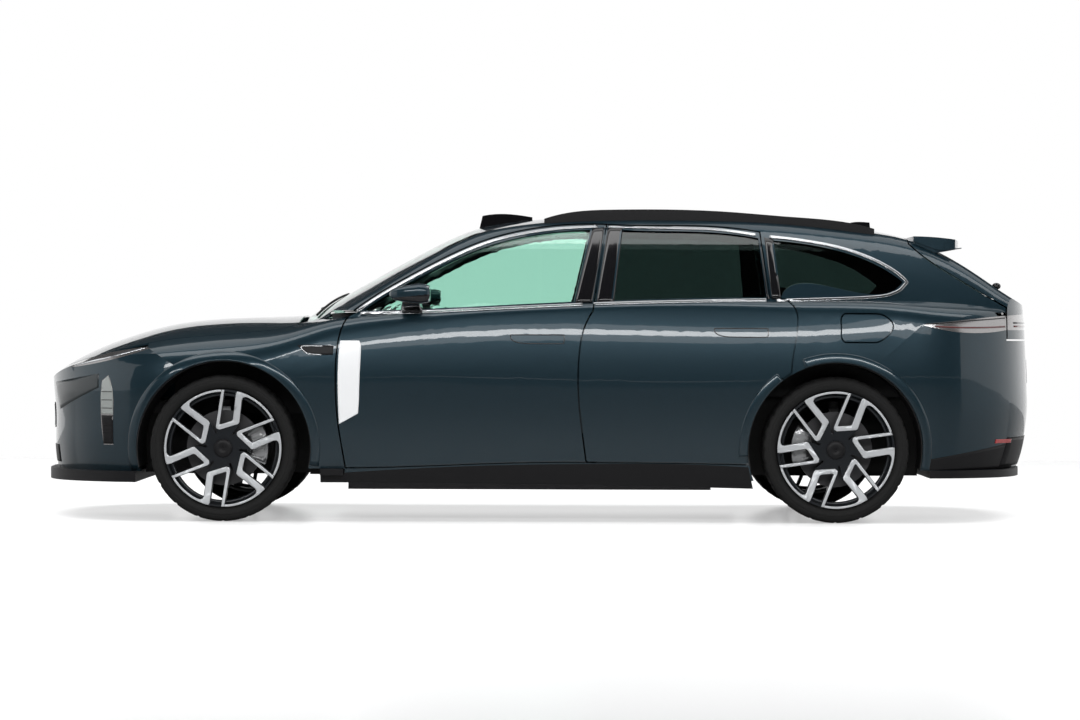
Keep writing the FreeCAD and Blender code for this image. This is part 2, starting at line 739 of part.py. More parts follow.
ROOF_POD_SHARES = [
    [(0.412, 0.930), (0.418, 0.979)],
    [(0.418, 0.979), (0.440, 0.985), (0.470, 0.984), (0.503, 0.975)],
    [(0.503, 0.975), (0.503, 0.930)],
    [(0.503, 0.930), (0.412, 0.930)],
]
ROOF_FIN_SHARES = [
    [(1.105, 0.90), (1.120, 0.958), (1.180, 0.966), (1.235, 0.964)],
    [(1.235, 0.964), (1.245, 0.90)],
    [(1.245, 0.90), (1.105, 0.90)],
]
MIRROR_SHELL_SHARES = [
    [(0.266, 0.700), (0.275, 0.725), (0.300, 0.746), (0.330, 0.748), (0.345, 0.738)],
    [(0.345, 0.738), (0.344, 0.690)],
    [(0.344, 0.690), (0.300, 0.684), (0.266, 0.700)],
]
FIREWALL_TOP_SHARE = 0.63
DASH_FRONT_SHARE = 0.17 + (size("plate_thickness") + size("seat_gap")) / size("wheelbase")
DASHBOARD_SHARES = [
    [(DASH_FRONT_SHARE, 0.655), (0.260, 0.655), (0.310, 0.640)],
    [(0.310, 0.640), (0.318, 0.590), (0.300, 0.520)],
    [(0.300, 0.520), (0.240, 0.420)],
    [(0.240, 0.420), (DASH_FRONT_SHARE, 0.420)],
    [(DASH_FRONT_SHARE, 0.420), (DASH_FRONT_SHARE, 0.655)],
]


# Helpers for document objects

def feature(name, shape):
    """A document object that holds a shape made from the master curves."""
    item = doc.addObject("Part::Feature", name)
    item.Label = name
    whole = solids(shape)
    item.Shape = whole[0] if len(whole) == 1 else Part.makeCompound(whole)
    item.Placement = item.Shape.Placement
    return item


def bind(item, **expressions):
    for name, text in expressions.items():
        item.setExpression(name.replace("_", "."), text)
    return item


def block(name, length, width, height, x, y, z):
    """A box whose sizes and low corner are expressions of the sheet's cells."""
    item = doc.addObject("Part::Box", name)
    item.Label = name
    bind(item, Length=length, Width=width, Height=height)
    bind(item, Placement_Base_x=x, Placement_Base_y=y, Placement_Base_z=z)
    return item


def drum(name, radius, length, x, y, z):
    """A cylinder that lies across the car, from y towards the right."""
    item = doc.addObject("Part::Cylinder", name)
    item.Label = name
    item.Placement = FreeCAD.Placement(V(), FreeCAD.Rotation(V(1, 0, 0), -90))
    bind(item, Radius=radius, Height=length)
    bind(item, Placement_Base_x=x, Placement_Base_y=y, Placement_Base_z=z)
    return item


def post(name, radius, length, x, y, z):
    """A cylinder that stands up from z."""
    item = doc.addObject("Part::Cylinder", name)
    item.Label = name
    bind(item, Radius=radius, Height=length)
    bind(item, Placement_Base_x=x, Placement_Base_y=y, Placement_Base_z=z)
    return item


def fused(name, items):
    item = doc.addObject("Part::MultiFuse", name)
    item.Label = name
    item.Shapes = items
    return item


def cut(name, base, tool):
    item = doc.addObject("Part::Cut", name)
    item.Label = name
    item.Base, item.Tool = base, tool
    return item


def mirrored(name, item):
    copy = doc.addObject("Part::Mirroring", name)
    copy.Label = name
    copy.Source = item
    copy.Normal = V(0, 1, 0)
    return copy


def mirror_shape(shape):
    return shape.mirror(V(), V(0, 1, 0))


NODES = {}


def node(name, item):
    """Names an object of the document as one piece of the car."""
    item.Label = name
    NODES[name] = item
    return item


def pair(name, shape):
    """Two like pieces, left and right, on one body."""
    return node(name, feature(name, Part.makeCompound(solids(shape) + solids(mirror_shape(shape)))))


def solids(shape):
    return [solid for solid in shape.Solids if solid.Volume > CRUMB_SHARE * size("half_width") ** 3]


CRUMB_SHARE = 4e-5

# Skin blocks that every panel is cut from

GAP = size("shut_gap")
SEAT = size("seat_gap") / 2
FLANGE = size("flange_thickness")
REBATE = FLANGE + size("seal_gap")


def box(x0, y0, z0, x1, y1, z1):
    return Part.makeBox(x1 - x0, y1 - y0, z1 - z0, V(x0, y0, z0))


LEFT = box(along(-1.2), -out(1.2), 0, along(2.2), 0, up(1.2))


def skin_block(inset=0.0):
    """The left half of the whole car inside its skin, less an inset all round."""
    return lower_body(inset).common(LEFT).fuse(cabin_body(inset).common(LEFT))


CABIN = cabin_body()
SKIN = skin_block()
BEHIND_FLANGE = skin_block(FLANGE)
BEHIND_SEAL = skin_block(REBATE)
BEHIND_POCKET = skin_block(size("hinge_pocket"))
CABIN_LOW = box(along(0.17), -size("cabin_half_width"), size("floor_height"), along(1.45), 0, up(0.665)).fuse(
    box(along(1.40), -size("load_half_width"), size("floor_height"), along(1.80), 0, up(0.665))
)
HOLLOW = cabin_body(size("frame_thickness")).common(LEFT).fuse(CABIN_LOW)
WALL = SKIN.cut(HOLLOW)
UNDER_BONNET = under_deck(-1.08, 0.16)
NOSE = end_wall(along(0.1), along(FRONT_CORNER_SHARE), nose_place, FRONT_CORNER_POWER).common(UNDER_BONNET)
NOSE_HOLLOW = end_wall(
    along(0.1), along(FRONT_CORNER_SHARE), nose_place, FRONT_CORNER_POWER, size("bumper_wall")
)
TAIL_WALL = end_wall(along(1.1), along(REAR_CORNER_SHARE), tail_place, REAR_CORNER_POWER)
TAIL_HOLLOW = end_wall(along(1.1), along(REAR_CORNER_SHARE), tail_place, REAR_CORNER_POWER, size("bumper_wall"))
TAIL = under_deck(1.15, 2.10).fuse(CABIN).common(TAIL_WALL)


def arch_drum(axle, radius, inner, outer=None):
    """The round hollow over a left wheel, from an inner width out past the skin."""
    outer = outer or size("half_width") + size("overrun")
    return Part.makeCylinder(radius, outer - inner, V(axle, -outer, size("tyre_radius")), V(0, 1, 0))


FRONT_ARCH = arch_drum(FRONT_AXLE, size("arch_radius"), size("wheelhouse_inner"))
REAR_ARCH = arch_drum(REAR_AXLE, size("arch_radius"), size("rear_wheelhouse_inner"))


def door(outline, window):
    """A door: a flange of outer skin, a thick inner box set back from its edge, and a window."""
    whole = side_prism(outline, -GAP)
    box_part = side_prism(outline, -GAP - size("flange_width"))
    return WALL.common(whole).cut(BEHIND_FLANGE.common(whole.cut(box_part))).cut(side_prism(window))


def door_hole(outline):
    """What the body side leaves free for a door: a rebate for its flange, a hole for its box, and a
    deep pocket round the hinge axis, where the flange swings in."""
    rebate = side_prism(outline).cut(BEHIND_SEAL)
    pocket_end = door_hinge_x(outline) + size("hinge_room")
    pocket = side_prism(outline).common(box(along(0), -out(2), 0, pocket_end, 0, up(1.2))).cut(BEHIND_POCKET)
    return rebate.fuse(pocket).fuse(side_prism(outline, -GAP - size("flange_width") + size("seal_gap")))


def door_hinge_x(outline):
    """The hinge axis stands a set distance behind the foremost point of the door's edge."""
    return along(min(place for place, height in outline[0])) + size("hinge_setback")


def striker(outline, place_share, height_share):
    """The bolt on the body side that a shut door's latch holds, up to the door's rear face."""
    reach = GAP + size("flange_width")
    depth = side_width(along(place_share), up(height_share)) - size("door_thickness") / 2
    bolt = Part.makeCylinder(size("striker_radius"), 2 * reach, V(along(place_share) - 3 * reach / 2, -depth,
                             up(height_share)), V(1, 0, 0))
    return bolt.cut(side_prism(outline, size("seat_gap") - reach))


def pane(window):
    outer = cabin_body(size("glass_inset"))
    inner = cabin_body(size("glass_inset") + size("glass_thickness"))
    return outer.common(side_prism(window, -size("seat_gap"))).cut(inner)


# Body shell

def cowl_room(half):
    """The room between the body sides at the windscreen's foot."""
    return box(along(-0.2), -half, 0, along(0.25), half, up(0.735))


def cowl():
    """The scuttle that joins both body sides ahead of the windscreen."""
    left = WALL.common(side_prism(SIDE_REGION_SHARES, -SEAT)).common(cowl_room(size("sill_inner") - SEAT))
    left = left.cut(box(along(-0.2), -out(1), 0, along(0.25), 0, up(FIREWALL_TOP_SHARE) + size("seat_gap")))
    return left.fuse(mirror_shape(left))


def body_side():
    region = side_prism(SIDE_REGION_SHARES, -SEAT)
    shell = WALL.common(region).cut(door_hole(FRONT_DOOR_SHARES)).cut(door_hole(REAR_DOOR_SHARES))
    middle = box(along(-0.2), -size("sill_inner"), 0, along(1.90), 0, up(0.665))
    shell = shell.cut(middle).cut(cowl_room(size("sill_inner"))).cut(strip(SKIRT_SHARES))
    shell = shell.fuse(striker(FRONT_DOOR_SHARES, 0.580, 0.50).cut(door_hole(REAR_DOOR_SHARES)))
    shell = shell.fuse(striker(REAR_DOOR_SHARES, 0.932, 0.56))
    return shell.cut(REAR_ARCH).cut(side_prism(QUARTER_WINDOW_SHARES)).cut(side_prism(TAIL_LAMP_SHARES))


def strip(outline, grow=0.0):
    """The outermost strip of the left side inside a side-view outline."""
    return side_prism(outline, grow).cut(box(along(-1), -size("skirt_inner"), 0, along(2), 0, up(1)))


def fender():
    region = side_prism(FENDER_REGION_SHARES, -SEAT)
    core = side_prism(FENDER_REGION_SHARES, -size("flange_width"))
    inner = box(along(-1), -size("fender_inner"), 0, along(0.5), 0, up(1))
    rear_edge = box(along(0.12), -out(2), 0, along(0.3), 0, up(1))
    edge = lower_body(size("skin_edge")).common(region.cut(core)).common(rear_edge)
    shell = lower_body().common(region).cut(inner).cut(edge).cut(BONNET_WELL).cut(FRONT_ARCH)
    return shell.cut(side_prism(HEADLAMP_SHARES))


def sunk_deck(depth):
    deck_block = UNDER_BONNET.copy()
    deck_block.translate(V(0, 0, -depth))
    return deck_block


BONNET_WELL = plan_prism(BONNET_PLAN_SHARES, up(0.3), up(0.8)).cut(sunk_deck(size("lid_thickness") + size("seal_gap")))


def bonnet():
    plan = plan_prism(BONNET_PLAN_SHARES, up(0.3), up(0.8), -GAP)
    core = plan_prism(BONNET_PLAN_SHARES, up(0.3), up(0.8), -GAP - size("flange_width"))
    rim = plan.cut(core).common(sunk_deck(size("lid_rim")))
    return UNDER_BONNET.common(plan).cut(sunk_deck(size("lid_thickness"))).cut(rim)


def front_bumper():
    shell = NOSE.common(through_prism(FRONT_BUMPER_REGION_SHARES, -SEAT)).cut(NOSE_HOLLOW).cut(BONNET_WELL)
    for tool in (FRONT_ARCH, side_prism(HEADLAMP_SHARES), side_prism(CORNER_LAMP_SHARES)):
        shell = shell.cut(tool).cut(mirror_shape(tool))
    return shell


def rear_bumper():
    shell = TAIL.common(through_prism(REAR_BUMPER_REGION_SHARES, -SEAT)).cut(TAIL_HOLLOW)
    return shell.cut(REAR_ARCH).cut(mirror_shape(REAR_ARCH))


def roof():
    inner = cabin_body(size("roof_thickness"))
    return CABIN.common(through_prism(ROOF_REGION_SHARES, -SEAT)).cut(inner)


def windscreen():
    inner = cabin_body(size("windscreen_thickness"))
    shell = CABIN.common(through_prism(WINDSCREEN_REGION_SHARES, -SEAT)).cut(inner)
    return shell


def tailgate():
    inner = TAIL_HOLLOW.common(box(along(1), -out(1), 0, along(2.2), out(1), up(1)))
    region = through_prism(GATE_REGION_SHARES, -GAP)
    shell = TAIL.common(region).cut(cabin_body(size("lid_thickness")).common(inner))
    shell = shell.fuse(through_prism(SPOILER_SHARES).common(plan_prism(SPOILER_PLAN_SHARES, up(0.8), up(1))))
    return shell.cut(through_prism(GATE_LAMP_SHARES).cut(BEHIND_LAMP)).cut(gate_window(0))


def gate_window(grow):
    """The rear window's outline, seen from behind, run forward through the gate."""
    face = outline_face(GATE_WINDOW_SHARES, lambda width, height: V(along(1.4), out(width), up(height)), V(1, 0, 0), grow)
    return face.extrude(V(along(2.1) - along(1.4), 0, 0))


def gate_pane():
    outer = cabin_body(size("glass_inset"))
    inner = cabin_body(size("glass_inset") + size("glass_thickness"))
    return outer.common(gate_window(-size("seat_gap"))).cut(inner)


pair("body_sides", body_side())
node("cowl", feature("cowl", cowl()))
pair("fenders", fender())
node("bonnet", feature("bonnet", bonnet()))
node("front_bumper", feature("front_bumper", front_bumper()))
node("rear_bumper", feature("rear_bumper", rear_bumper()))
node("roof", feature("roof", roof()))
node("windscreen", feature("windscreen", windscreen()))
BEHIND_LAMP = end_wall(
    along(1.1), along(REAR_CORNER_SHARE), tail_place, REAR_CORNER_POWER, size("lamp_depth") + size("seat_gap")
)
LAMP_CORE = end_wall(along(1.1), along(REAR_CORNER_SHARE), tail_place, REAR_CORNER_POWER, size("lamp_depth"))
node("tailgate", feature("tailgate", tailgate()))
node("tailgate_glass", feature("tailgate_glass", gate_pane()))
pair("quarter_glass", pane(QUARTER_WINDOW_SHARES))
for place, outline, window in (("front", FRONT_DOOR_SHARES, FRONT_WINDOW_SHARES), ("rear", REAR_DOOR_SHARES, REAR_WINDOW_SHARES)):
    leaf, glass = door(outline, window), pane(window)
    if place == "rear":
        leaf = leaf.cut(arch_drum(REAR_AXLE, size("arch_radius") + size("arch_gap"), 0))
    node(place + "_door_left", feature(place + "_door_left", leaf))
    node(place + "_door_right", feature(place + "_door_right", mirror_shape(leaf)))
    node(place + "_glass_left", feature(place + "_glass_left", glass))
    node(place + "_glass_right", feature(place + "_glass_right", mirror_shape(glass)))
front_lamps = [NOSE.common(side_prism(outline, -SEAT)).cut(NOSE_HOLLOW) for outline in (HEADLAMP_SHARES, CORNER_LAMP_SHARES)]
pair("headlamps", Part.makeCompound(front_lamps).cut(BONNET_WELL))
pair("tail_lamps", WALL.common(side_prism(TAIL_LAMP_SHARES, -SEAT)).cut(TAIL_HOLLOW))
lamp_strip = TAIL.common(through_prism(GATE_LAMP_SHARES, -SEAT)).common(through_prism(GATE_REGION_SHARES, -GAP)).cut(LAMP_CORE)
node("gate_lamp", feature("gate_lamp", lamp_strip))


# Trim, rails and pods


def lower_trim():
    skirt = lower_body().common(strip(SKIRT_SHARES))
    lip = plan_prism(SPLITTER_PLAN_SHARES, up(0.121), up(0.155)).cut(FRONT_ARCH).cut(mirror_shape(FRONT_ARCH))
    diffuser = plan_prism(DIFFUSER_PLAN_SHARES, up(0.140), up(0.165)).cut(REAR_ARCH).cut(mirror_shape(REAR_ARCH))
    return Part.makeCompound([skirt, mirror_shape(skirt), lip, diffuser])


def on_roof(outline, middle, width):
    """A piece of a side-view outline and a width that stands on the roof."""
    low, high = middle - width / 2, middle + width / 2
    piece = through_prism(outline).common(box(along(0), low, 0, along(2), high, up(1.2)))
    return piece.cut(cabin_body(-size("seat_gap")))


node("lower_trim", feature("lower_trim", lower_trim()))
pair("roof_rails", on_roof(RAIL_SHARES, -size("rail_middle"), size("rail_width")))
node("roof_sensors", feature("roof_sensors", Part.makeCompound([
    on_roof(ROOF_POD_SHARES, 0, size("pod_width")), on_roof(ROOF_FIN_SHARES, 0, size("fin_width")),
])))


def mirror():
    """A door mirror: its shell stands out from the door on a foot."""
    reach, root = size("mirror_reach"), out(0.80)
    shell = side_prism(MIRROR_SHELL_SHARES).common(box(along(0), -reach, 0, along(1), -out(0.915), up(1)))
    foot = box(along(0.285), -out(0.94), up(0.655), along(0.325), -root, up(0.700))
    return shell.fuse(foot).cut(skin_block(-size("seat_gap")))


node("mirror_left", feature("mirror_left", mirror()))
node("mirror_right", feature("mirror_right", mirror_shape(NODES["mirror_left"].Shape)))

flap = side_prism(CHARGE_FLAP_SHARES, -GAP).common(SKIN).cut(skin_block(size("flap_thickness")))
node("charge_flap", feature("charge_flap", flap))
pocket = side_prism(CHARGE_FLAP_SHARES).cut(skin_block(size("panel_thickness")))
sides = NODES["body_sides"]
sides.Shape = sides.Shape.cut(pocket)

# Floor, wheelhouse liners and load floor


def liner(axle, inner):
    outer_size = size("arch_radius") - size("seat_gap")
    ring = arch_drum(axle, outer_size, inner, size("liner_outer"))
    ring = ring.cut(arch_drum(axle, outer_size - size("liner_thickness"), inner, size("liner_outer")))
    return ring.cut(box(axle - up(1), -out(2), -up(1), axle + up(1), 0, size("floor_height") - size("plate_thickness")))


def wheelhouse_wall():
    """The inner wall of the left rear wheelhouse, above the upper arm."""
    outer_size, inner = size("arch_radius") - size("seat_gap"), size("rear_wheelhouse_inner")
    foot = size("tyre_radius") + size("upright_height") * 0.65 + 2 * size("arm_height")
    wall = arch_drum(REAR_AXLE, outer_size, inner, inner + size("liner_thickness"))
    return wall.cut(box(along(0.5), -out(2), -up(1), along(2), 0, foot))


def floor_pan():
    plate = size("plate_thickness")
    half, rear_half = size("sill_inner") - size("seat_gap"), size("rear_wheelhouse_inner") - size("seat_gap")
    floor, load = size("floor_height"), size("load_floor_height")
    rear_start = REAR_AXLE - size("arch_radius") - size("arch_gap")
    pan = box(along(0.17), -half, floor - plate, rear_start, half, floor)
    dash_half = size("fender_inner") - size("seat_gap")
    pan = pan.fuse(box(along(0.17), -dash_half, floor - plate, along(0.17) + plate, dash_half,
                      up(FIREWALL_TOP_SHARE)))
    pan = pan.fuse(box(rear_start, -rear_half, floor - plate, rear_start + plate, rear_half, load))
    pan = pan.fuse(box(rear_start, -rear_half, load - plate, along(1.77), rear_half, load))
    load_half = size("load_half_width")
    pan = pan.fuse(box(along(1.77), -load_half, load - plate, along(1.80), load_half, load))
    rails = front_rail().fuse(rear_rail())
    return pan.fuse(rails).fuse(mirror_shape(rails)).fuse(bumper_beams())


def front_rail():
    """The left front rail, with the apron over the wheel that carries the fender."""
    outer, inner = size("wheelhouse_inner") - size("beam") / 6, size("wheelhouse_inner") - size("beam") * 7 / 6
    low, high, plate = size("rail_height"), size("rail_height") + size("beam"), size("plate_thickness")
    rail = box(along(-0.82), -outer, low, along(0.17) + plate, -inner, high)
    rail = rail.fuse(box(along(-0.30), -outer, high, along(0.17) + plate, -outer + plate, up(0.520)))
    return rail.fuse(box(along(-0.30), -size("fender_inner") + size("seat_gap"), up(0.520) - plate,
                         along(0.12), -outer + plate, up(0.520)))


def rear_rail():
    outer, inner = size("wheelhouse_inner") + size("beam") * 5 / 6, size("wheelhouse_inner") - size("beam") / 6
    low, high = size("load_floor_height") - size("plate_thickness") - size("beam"), size("load_floor_height")
    return box(along(0.85), -outer, low, along(1.82), -inner, high - size("plate_thickness"))


def bumper_beams():
    """Straight beams across the ends of the rails, behind the bumpers."""
    width, low, beam = size("wheelhouse_inner"), size("rail_height"), size("beam")
    front = box(along(-0.82), -width, low, along(-0.82) + beam, width, low + beam)
    rear_low = size("load_floor_height") - size("plate_thickness") - beam
    return front.fuse(box(along(1.82) - beam, -width, rear_low, along(1.82), width, rear_low + beam))


def underbody():
    rear_liner = liner(REAR_AXLE, size("rear_wheelhouse_inner")).fuse(wheelhouse_wall())
    liners = [liner(FRONT_AXLE, size("wheelhouse_inner")), rear_liner]
    return Part.makeCompound([floor_pan()] + liners + [mirror_shape(shape) for shape in liners])


node("underbody", feature("underbody", underbody()))

# Battery and drive units

AXLE_X = {
    "front": "Sizes.front_overhang - (Sizes.front_overhang + Sizes.wheelbase + Sizes.rear_overhang) / 2",
    "rear": "(Sizes.front_overhang + Sizes.wheelbase + Sizes.rear_overhang) / 2 - Sizes.rear_overhang",
}
PACK_TOP = "Sizes.floor_height - Sizes.plate_thickness"
CROSS_LOW = "Sizes.tyre_radius - Sizes.upright_height * 0.35 - Sizes.seat_gap - Sizes.arm_height"
CROSS_ROOM = "(4 * Sizes.arm_width - Sizes.beam - Sizes.seat_gap)"


def drive_unit(end):
    """A motor and its gears as one drum across the car, and the mount that lies in the subframe."""
    motor = drum(
        end + "_motor", "Sizes.motor_radius", "Sizes.motor_length", AXLE_X[end], "-Sizes.motor_length / 2",
        "Sizes.tyre_radius",
    )
    rest = block(
        end + "_motor_mount", "2 * " + CROSS_ROOM, "Sizes.motor_length / 3", "Sizes.arm_height",
        AXLE_X[end] + " - " + CROSS_ROOM, "-Sizes.motor_length / 6", CROSS_LOW + " + Sizes.arm_height / 2",
    )
    return fused(end + "_drive", [motor, rest])


battery = block(
    "battery", "Sizes.wheelbase * 0.60", "Sizes.battery_width", "Sizes.battery_height",
    AXLE_X["front"] + " + Sizes.wheelbase * 0.20", "-Sizes.battery_width / 2", PACK_TOP + " - Sizes.battery_height",
)
drive_pack = doc.addObject("Part::Compound", "drive_pack")
drive_pack.Links = [battery, drive_unit("front"), drive_unit("rear")]
node("drive_pack", drive_pack)

# Wheels


def ring_of(profile):
    """A ring about the wheel's axle from (width place, radius) points, outer side at -Y."""
    points = [V(0, y, r) for y, r in profile]
    face = Part.Face(Part.makePolygon(points + [points[0]]))
    return face.revolve(V(), V(0, 1, 0), 360)


def tyre_shape():
    half, outer, bead = size("tyre_width") / 2, size("tyre_radius"), size("rim_radius")
    wall = size("tyre_radius") - size("rim_radius")
    curve = [(-half * 0.82, bead), (-half, bead + wall * 0.42), (-half * 0.97, bead + wall * 0.72),
             (-half * 0.83, outer - wall * 0.07), (-half * 0.5, outer)]
    inner = [(half * 0.70, bead), (half * 0.80, bead + wall * 0.55), (half * 0.62, outer - wall * 0.25),
             (-half * 0.62, outer - wall * 0.25), (-half * 0.80, bead + wall * 0.55), (-half * 0.70, bead)]
    return ring_of(curve + [(-y, r) for y, r in reversed(curve)] + inner)


def rim_shape(phase):
    """A rim: a barrel with a lip, a hub and six forked arms, turned by a phase."""
    half, lip, wall = size("rim_depth") / 2, size("rim_radius") - size("seat_gap"), size("rim_wall")
    barrel = ring_of([
        (-half, lip), (-half * 0.80, lip), (-half * 0.70, lip - wall), (half * 0.70, lip - wall), (half * 0.80, lip),
        (half, lip), (half, lip - wall), (half * 0.8, lip - 2 * wall), (-half * 0.8, lip - 2 * wall),
        (-half, lip - wall),
    ])
    depth, face = size("spoke_depth"), -half * 0.86
    hub = Part.makeCylinder(size("hub_radius"), -face - size("beam") - size("seat_gap"), V(0, face, 0), V(0, 1, 0))
    shape = barrel.fuse(hub)
    for turn in range(6):
        for outline in (THIN_ARM_SHARES, BASE_ARM_SHARES, THICK_ARM_SHARES):
            points = [V(x * lip, face, z * lip) for x, z in outline]
            arm = Part.Face(Part.makePolygon(points + [points[0]])).extrude(V(0, depth, 0))
            arm.rotate(V(), V(0, 1, 0), turn * 60 + phase)
            shape = shape.fuse(arm)
    return shape.removeSplitter()


THIN_ARM_SHARES = [(-0.032, 0.975), (0.030, 0.975), (-0.060, 0.372), (-0.134, 0.386)]
BASE_ARM_SHARES = [
    (-0.134, 0.386), (-0.122, 0.315), (-0.060, 0.200), (0.120, 0.200), (0.290, 0.430), (0.240, 0.500), (0.170, 0.468),
    (-0.060, 0.385),
]
THICK_ARM_SHARES = [(0.150, 0.440), (0.272, 0.430), (0.345, 0.905), (0.300, 0.925), (0.215, 0.950)]
REAR_PHASE = 13.4


def disc_shape():
    half, bell = size("disc_thickness") / 2, size("hub_radius")
    disc = Part.makeCylinder(size("disc_radius"), 2 * half, V(0, -half, 0), V(0, 1, 0))
    hat = Part.makeCylinder(bell, size("beam"), V(0, -size("beam"), 0), V(0, 1, 0))
    return disc.fuse(hat).cut(Part.makeCylinder(size("axle_radius"), 4 * size("beam"), V(0, -2 * size("beam"), 0), V(0, 1, 0)))


for end, axle in (("front", FRONT_AXLE), ("rear", REAR_AXLE)):
    for side, sign in (("left", -1), ("right", 1)):
        middle = V(axle, sign * size("wheel_track") / 2, size("tyre_radius"))
        for piece, maker in (("tyre", tyre_shape), ("rim", rim_shape), ("disc", disc_shape)):
            name = "%s_%s_%s" % (end, piece, side)
            shape = maker(REAR_PHASE if end == "rear" else 0) if piece == "rim" else maker()
            if sign > 0:
                shape = mirror_shape(shape)
            item = doc.addObject("Part::Feature", name)
            item.Shape = shape
            item.Placement = FreeCAD.Placement(middle, FreeCAD.Rotation())
            node(name, item)

# Axles, knuckles and calipers


def caliper():
    """A caliper that clasps the disc behind the axle, and its bracket to the upright."""
    depth, radius = size("caliper_depth"), size("caliper_radius")
    reach, half_angle = radius * 1.4, math.radians(34)
    wedge = Part.Face(Part.makePolygon([
        V(), V(reach * math.cos(half_angle), 0, -reach * math.sin(half_angle) * 0.6),
        V(reach * math.cos(half_angle), 0, reach * math.sin(half_angle)), V(),
    ])).extrude(V(0, size("wheel_track"), 0))
    wedge.translate(V(0, -size("wheel_track") / 2, 0))
    slot = size("disc_thickness") / 2 + size("running_gap")
    back = size("wheel_track") / 2 - size("upright_inner") - size("upright_width")
    body = Part.makeCylinder(radius, depth, V(0, -depth / 2, 0), V(0, 1, 0))
    body = body.cut(Part.makeCylinder(size("disc_radius") * 0.62, depth, V(0, -depth / 2, 0), V(0, 1, 0)))
    body = body.cut(Part.makeCylinder(size("disc_radius") + size("running_gap"), 2 * slot, V(0, -slot, 0), V(0, 1, 0)))
    bracket = Part.makeCylinder(size("disc_radius") * 0.80, back + size("upright_width") / 2 - slot, V(0, slot, 0), V(0, 1, 0))
    bracket = bracket.cut(Part.makeCylinder(size("axle_radius") * 1.2, back * 3, V(), V(0, 1, 0)))
    return body.fuse(bracket).common(wedge)


HOUSING_SHARE = 0.8


def upright():
    """A wheel carrier: a post behind the disc with the bearing housing that the hub turns on."""
    back = size("wheel_track") / 2 - size("upright_inner")
    width, height = size("upright_width"), size("upright_height")
    shape = box(-width / 2, back - width, -height * 0.35, width / 2, back, height * 0.65)
    housing = Part.makeCylinder(size("hub_radius") * HOUSING_SHARE, width, V(0, back - width, 0), V(0, 1, 0))
    stub = Part.makeCylinder(size("axle_radius") - size("seat_gap"), size("beam") + width,
                             V(0, back - width - size("beam"), 0), V(0, 1, 0))
    return shape.fuse(housing).fuse(stub)


def moved(shape, x, y, z):
    copy = shape.copy()
    copy.translate(V(x, y, z))
    return copy


def carrier(ahead):
    """The left wheel carrier about its wheel's centre, with its caliper behind or ahead of the axle."""
    clasp = caliper()
    if ahead:
        clasp = clasp.mirror(V(), V(1, 0, 0))
    return upright().fuse(clasp)


def wheel_centre(axle, sign):
    return V(axle, sign * size("wheel_track") / 2, size("tyre_radius"))


def wishbones(axle, root):
    """The left lower and upper arms, from the body out to the ball joints of the carrier."""
    tip = size("wheel_track") / 2 - size("kingpin_inboard")
    width, height, gap = size("arm_width"), size("arm_height"), size("seat_gap")
    low_top = size("tyre_radius") - size("upright_height") * 0.35 - gap
    high_foot = size("tyre_radius") + size("upright_height") * 0.65 + gap
    pieces = []
    for z, spread_share in ((low_top - height, 1.6), (high_foot, 1.0)):
        plan = Part.Face(Part.makePolygon([
            V(axle - width * spread_share, -root, z), V(axle - width * 0.35, -tip, z), V(axle + width * 0.35, -tip, z),
            V(axle + width * spread_share, -root, z), V(axle - width * spread_share, -root, z),
        ]))
        boss = Part.makeCylinder(size("ball_radius"), height, V(axle, -tip, z))
        pieces.append(plan.extrude(V(0, 0, height)).fuse(boss))
    return pieces


def half_shaft(axle):
    """A shaft from the motor to just inside the circle that the steered bearing housing sweeps."""
    back = size("wheel_track") / 2 - size("upright_inner")
    sweep = math.hypot(back, size("hub_radius") * HOUSING_SHARE)
    end = size("wheel_track") / 2 - sweep - size("running_gap")
    start = size("motor_length") / 2 + size("seat_gap")
    return Part.makeCylinder(size("axle_radius") / 2, end - start, V(axle, -end, size("tyre_radius")), V(0, 1, 0))


def subframe(axle, top, root):
    """The left half of a subframe: a cross beam, a side rail and a tower up to the body."""
    beam, width = size("beam"), size("arm_width")
    low = size("tyre_radius") - size("upright_height") * 0.35 - size("seat_gap") - size("arm_height")
    side = box(axle - 4 * width, -root, low, axle + 4 * width, -root + beam, low + beam)
    for x in (axle - 4 * width, axle + 4 * width - beam):
        side = side.fuse(box(x, -root, low, x + beam, 0, low + beam))
    return side.fuse(box(axle + 3 * width - beam, -root, low, axle + 3 * width, -root + beam, top))


def axle_unit(axle, rail_low, root):
    """Subframe, arms and half shafts of one axle."""
    lower, upper = wishbones(axle, root)
    half = subframe(axle, rail_low - size("seat_gap"), root).fuse(lower)
    whole = half.fuse(mirror_shape(half))
    loose = [upper, half_shaft(axle)]
    return [whole] + loose + [mirror_shape(shape) for shape in loose]


FRONT_ROOT = size("wheelhouse_inner") - size("beam") / 6 + size("seat_gap")
REAR_ROOT = size("wheelhouse_inner") + size("beam") * 5 / 6 + size("seat_gap")
for side, sign, shape in (("left", -1, carrier(False)), ("right", 1, mirror_shape(carrier(False)))):
    knuckle = node("front_knuckle_" + side, feature("front_knuckle_" + side, shape))
    knuckle.Placement = FreeCAD.Placement(wheel_centre(FRONT_AXLE, sign), FreeCAD.Rotation())
node("front_axle", feature("front_axle", Part.makeCompound(axle_unit(FRONT_AXLE, size("rail_height"), FRONT_ROOT))))
rear_low = size("load_floor_height") - size("plate_thickness") - size("beam")
rear_carrier = moved(carrier(True), *wheel_centre(REAR_AXLE, -1))
node("rear_axle", feature("rear_axle", Part.makeCompound(
    axle_unit(REAR_AXLE, rear_low, REAR_ROOT) + [rear_carrier, mirror_shape(rear_carrier)]
)))

# Cabin


def across(outline, width):
    """A side-view outline run across the cabin, half a width each way."""
    return through_prism(outline).common(box(along(0), -width, 0, along(2), width, up(1.2)))


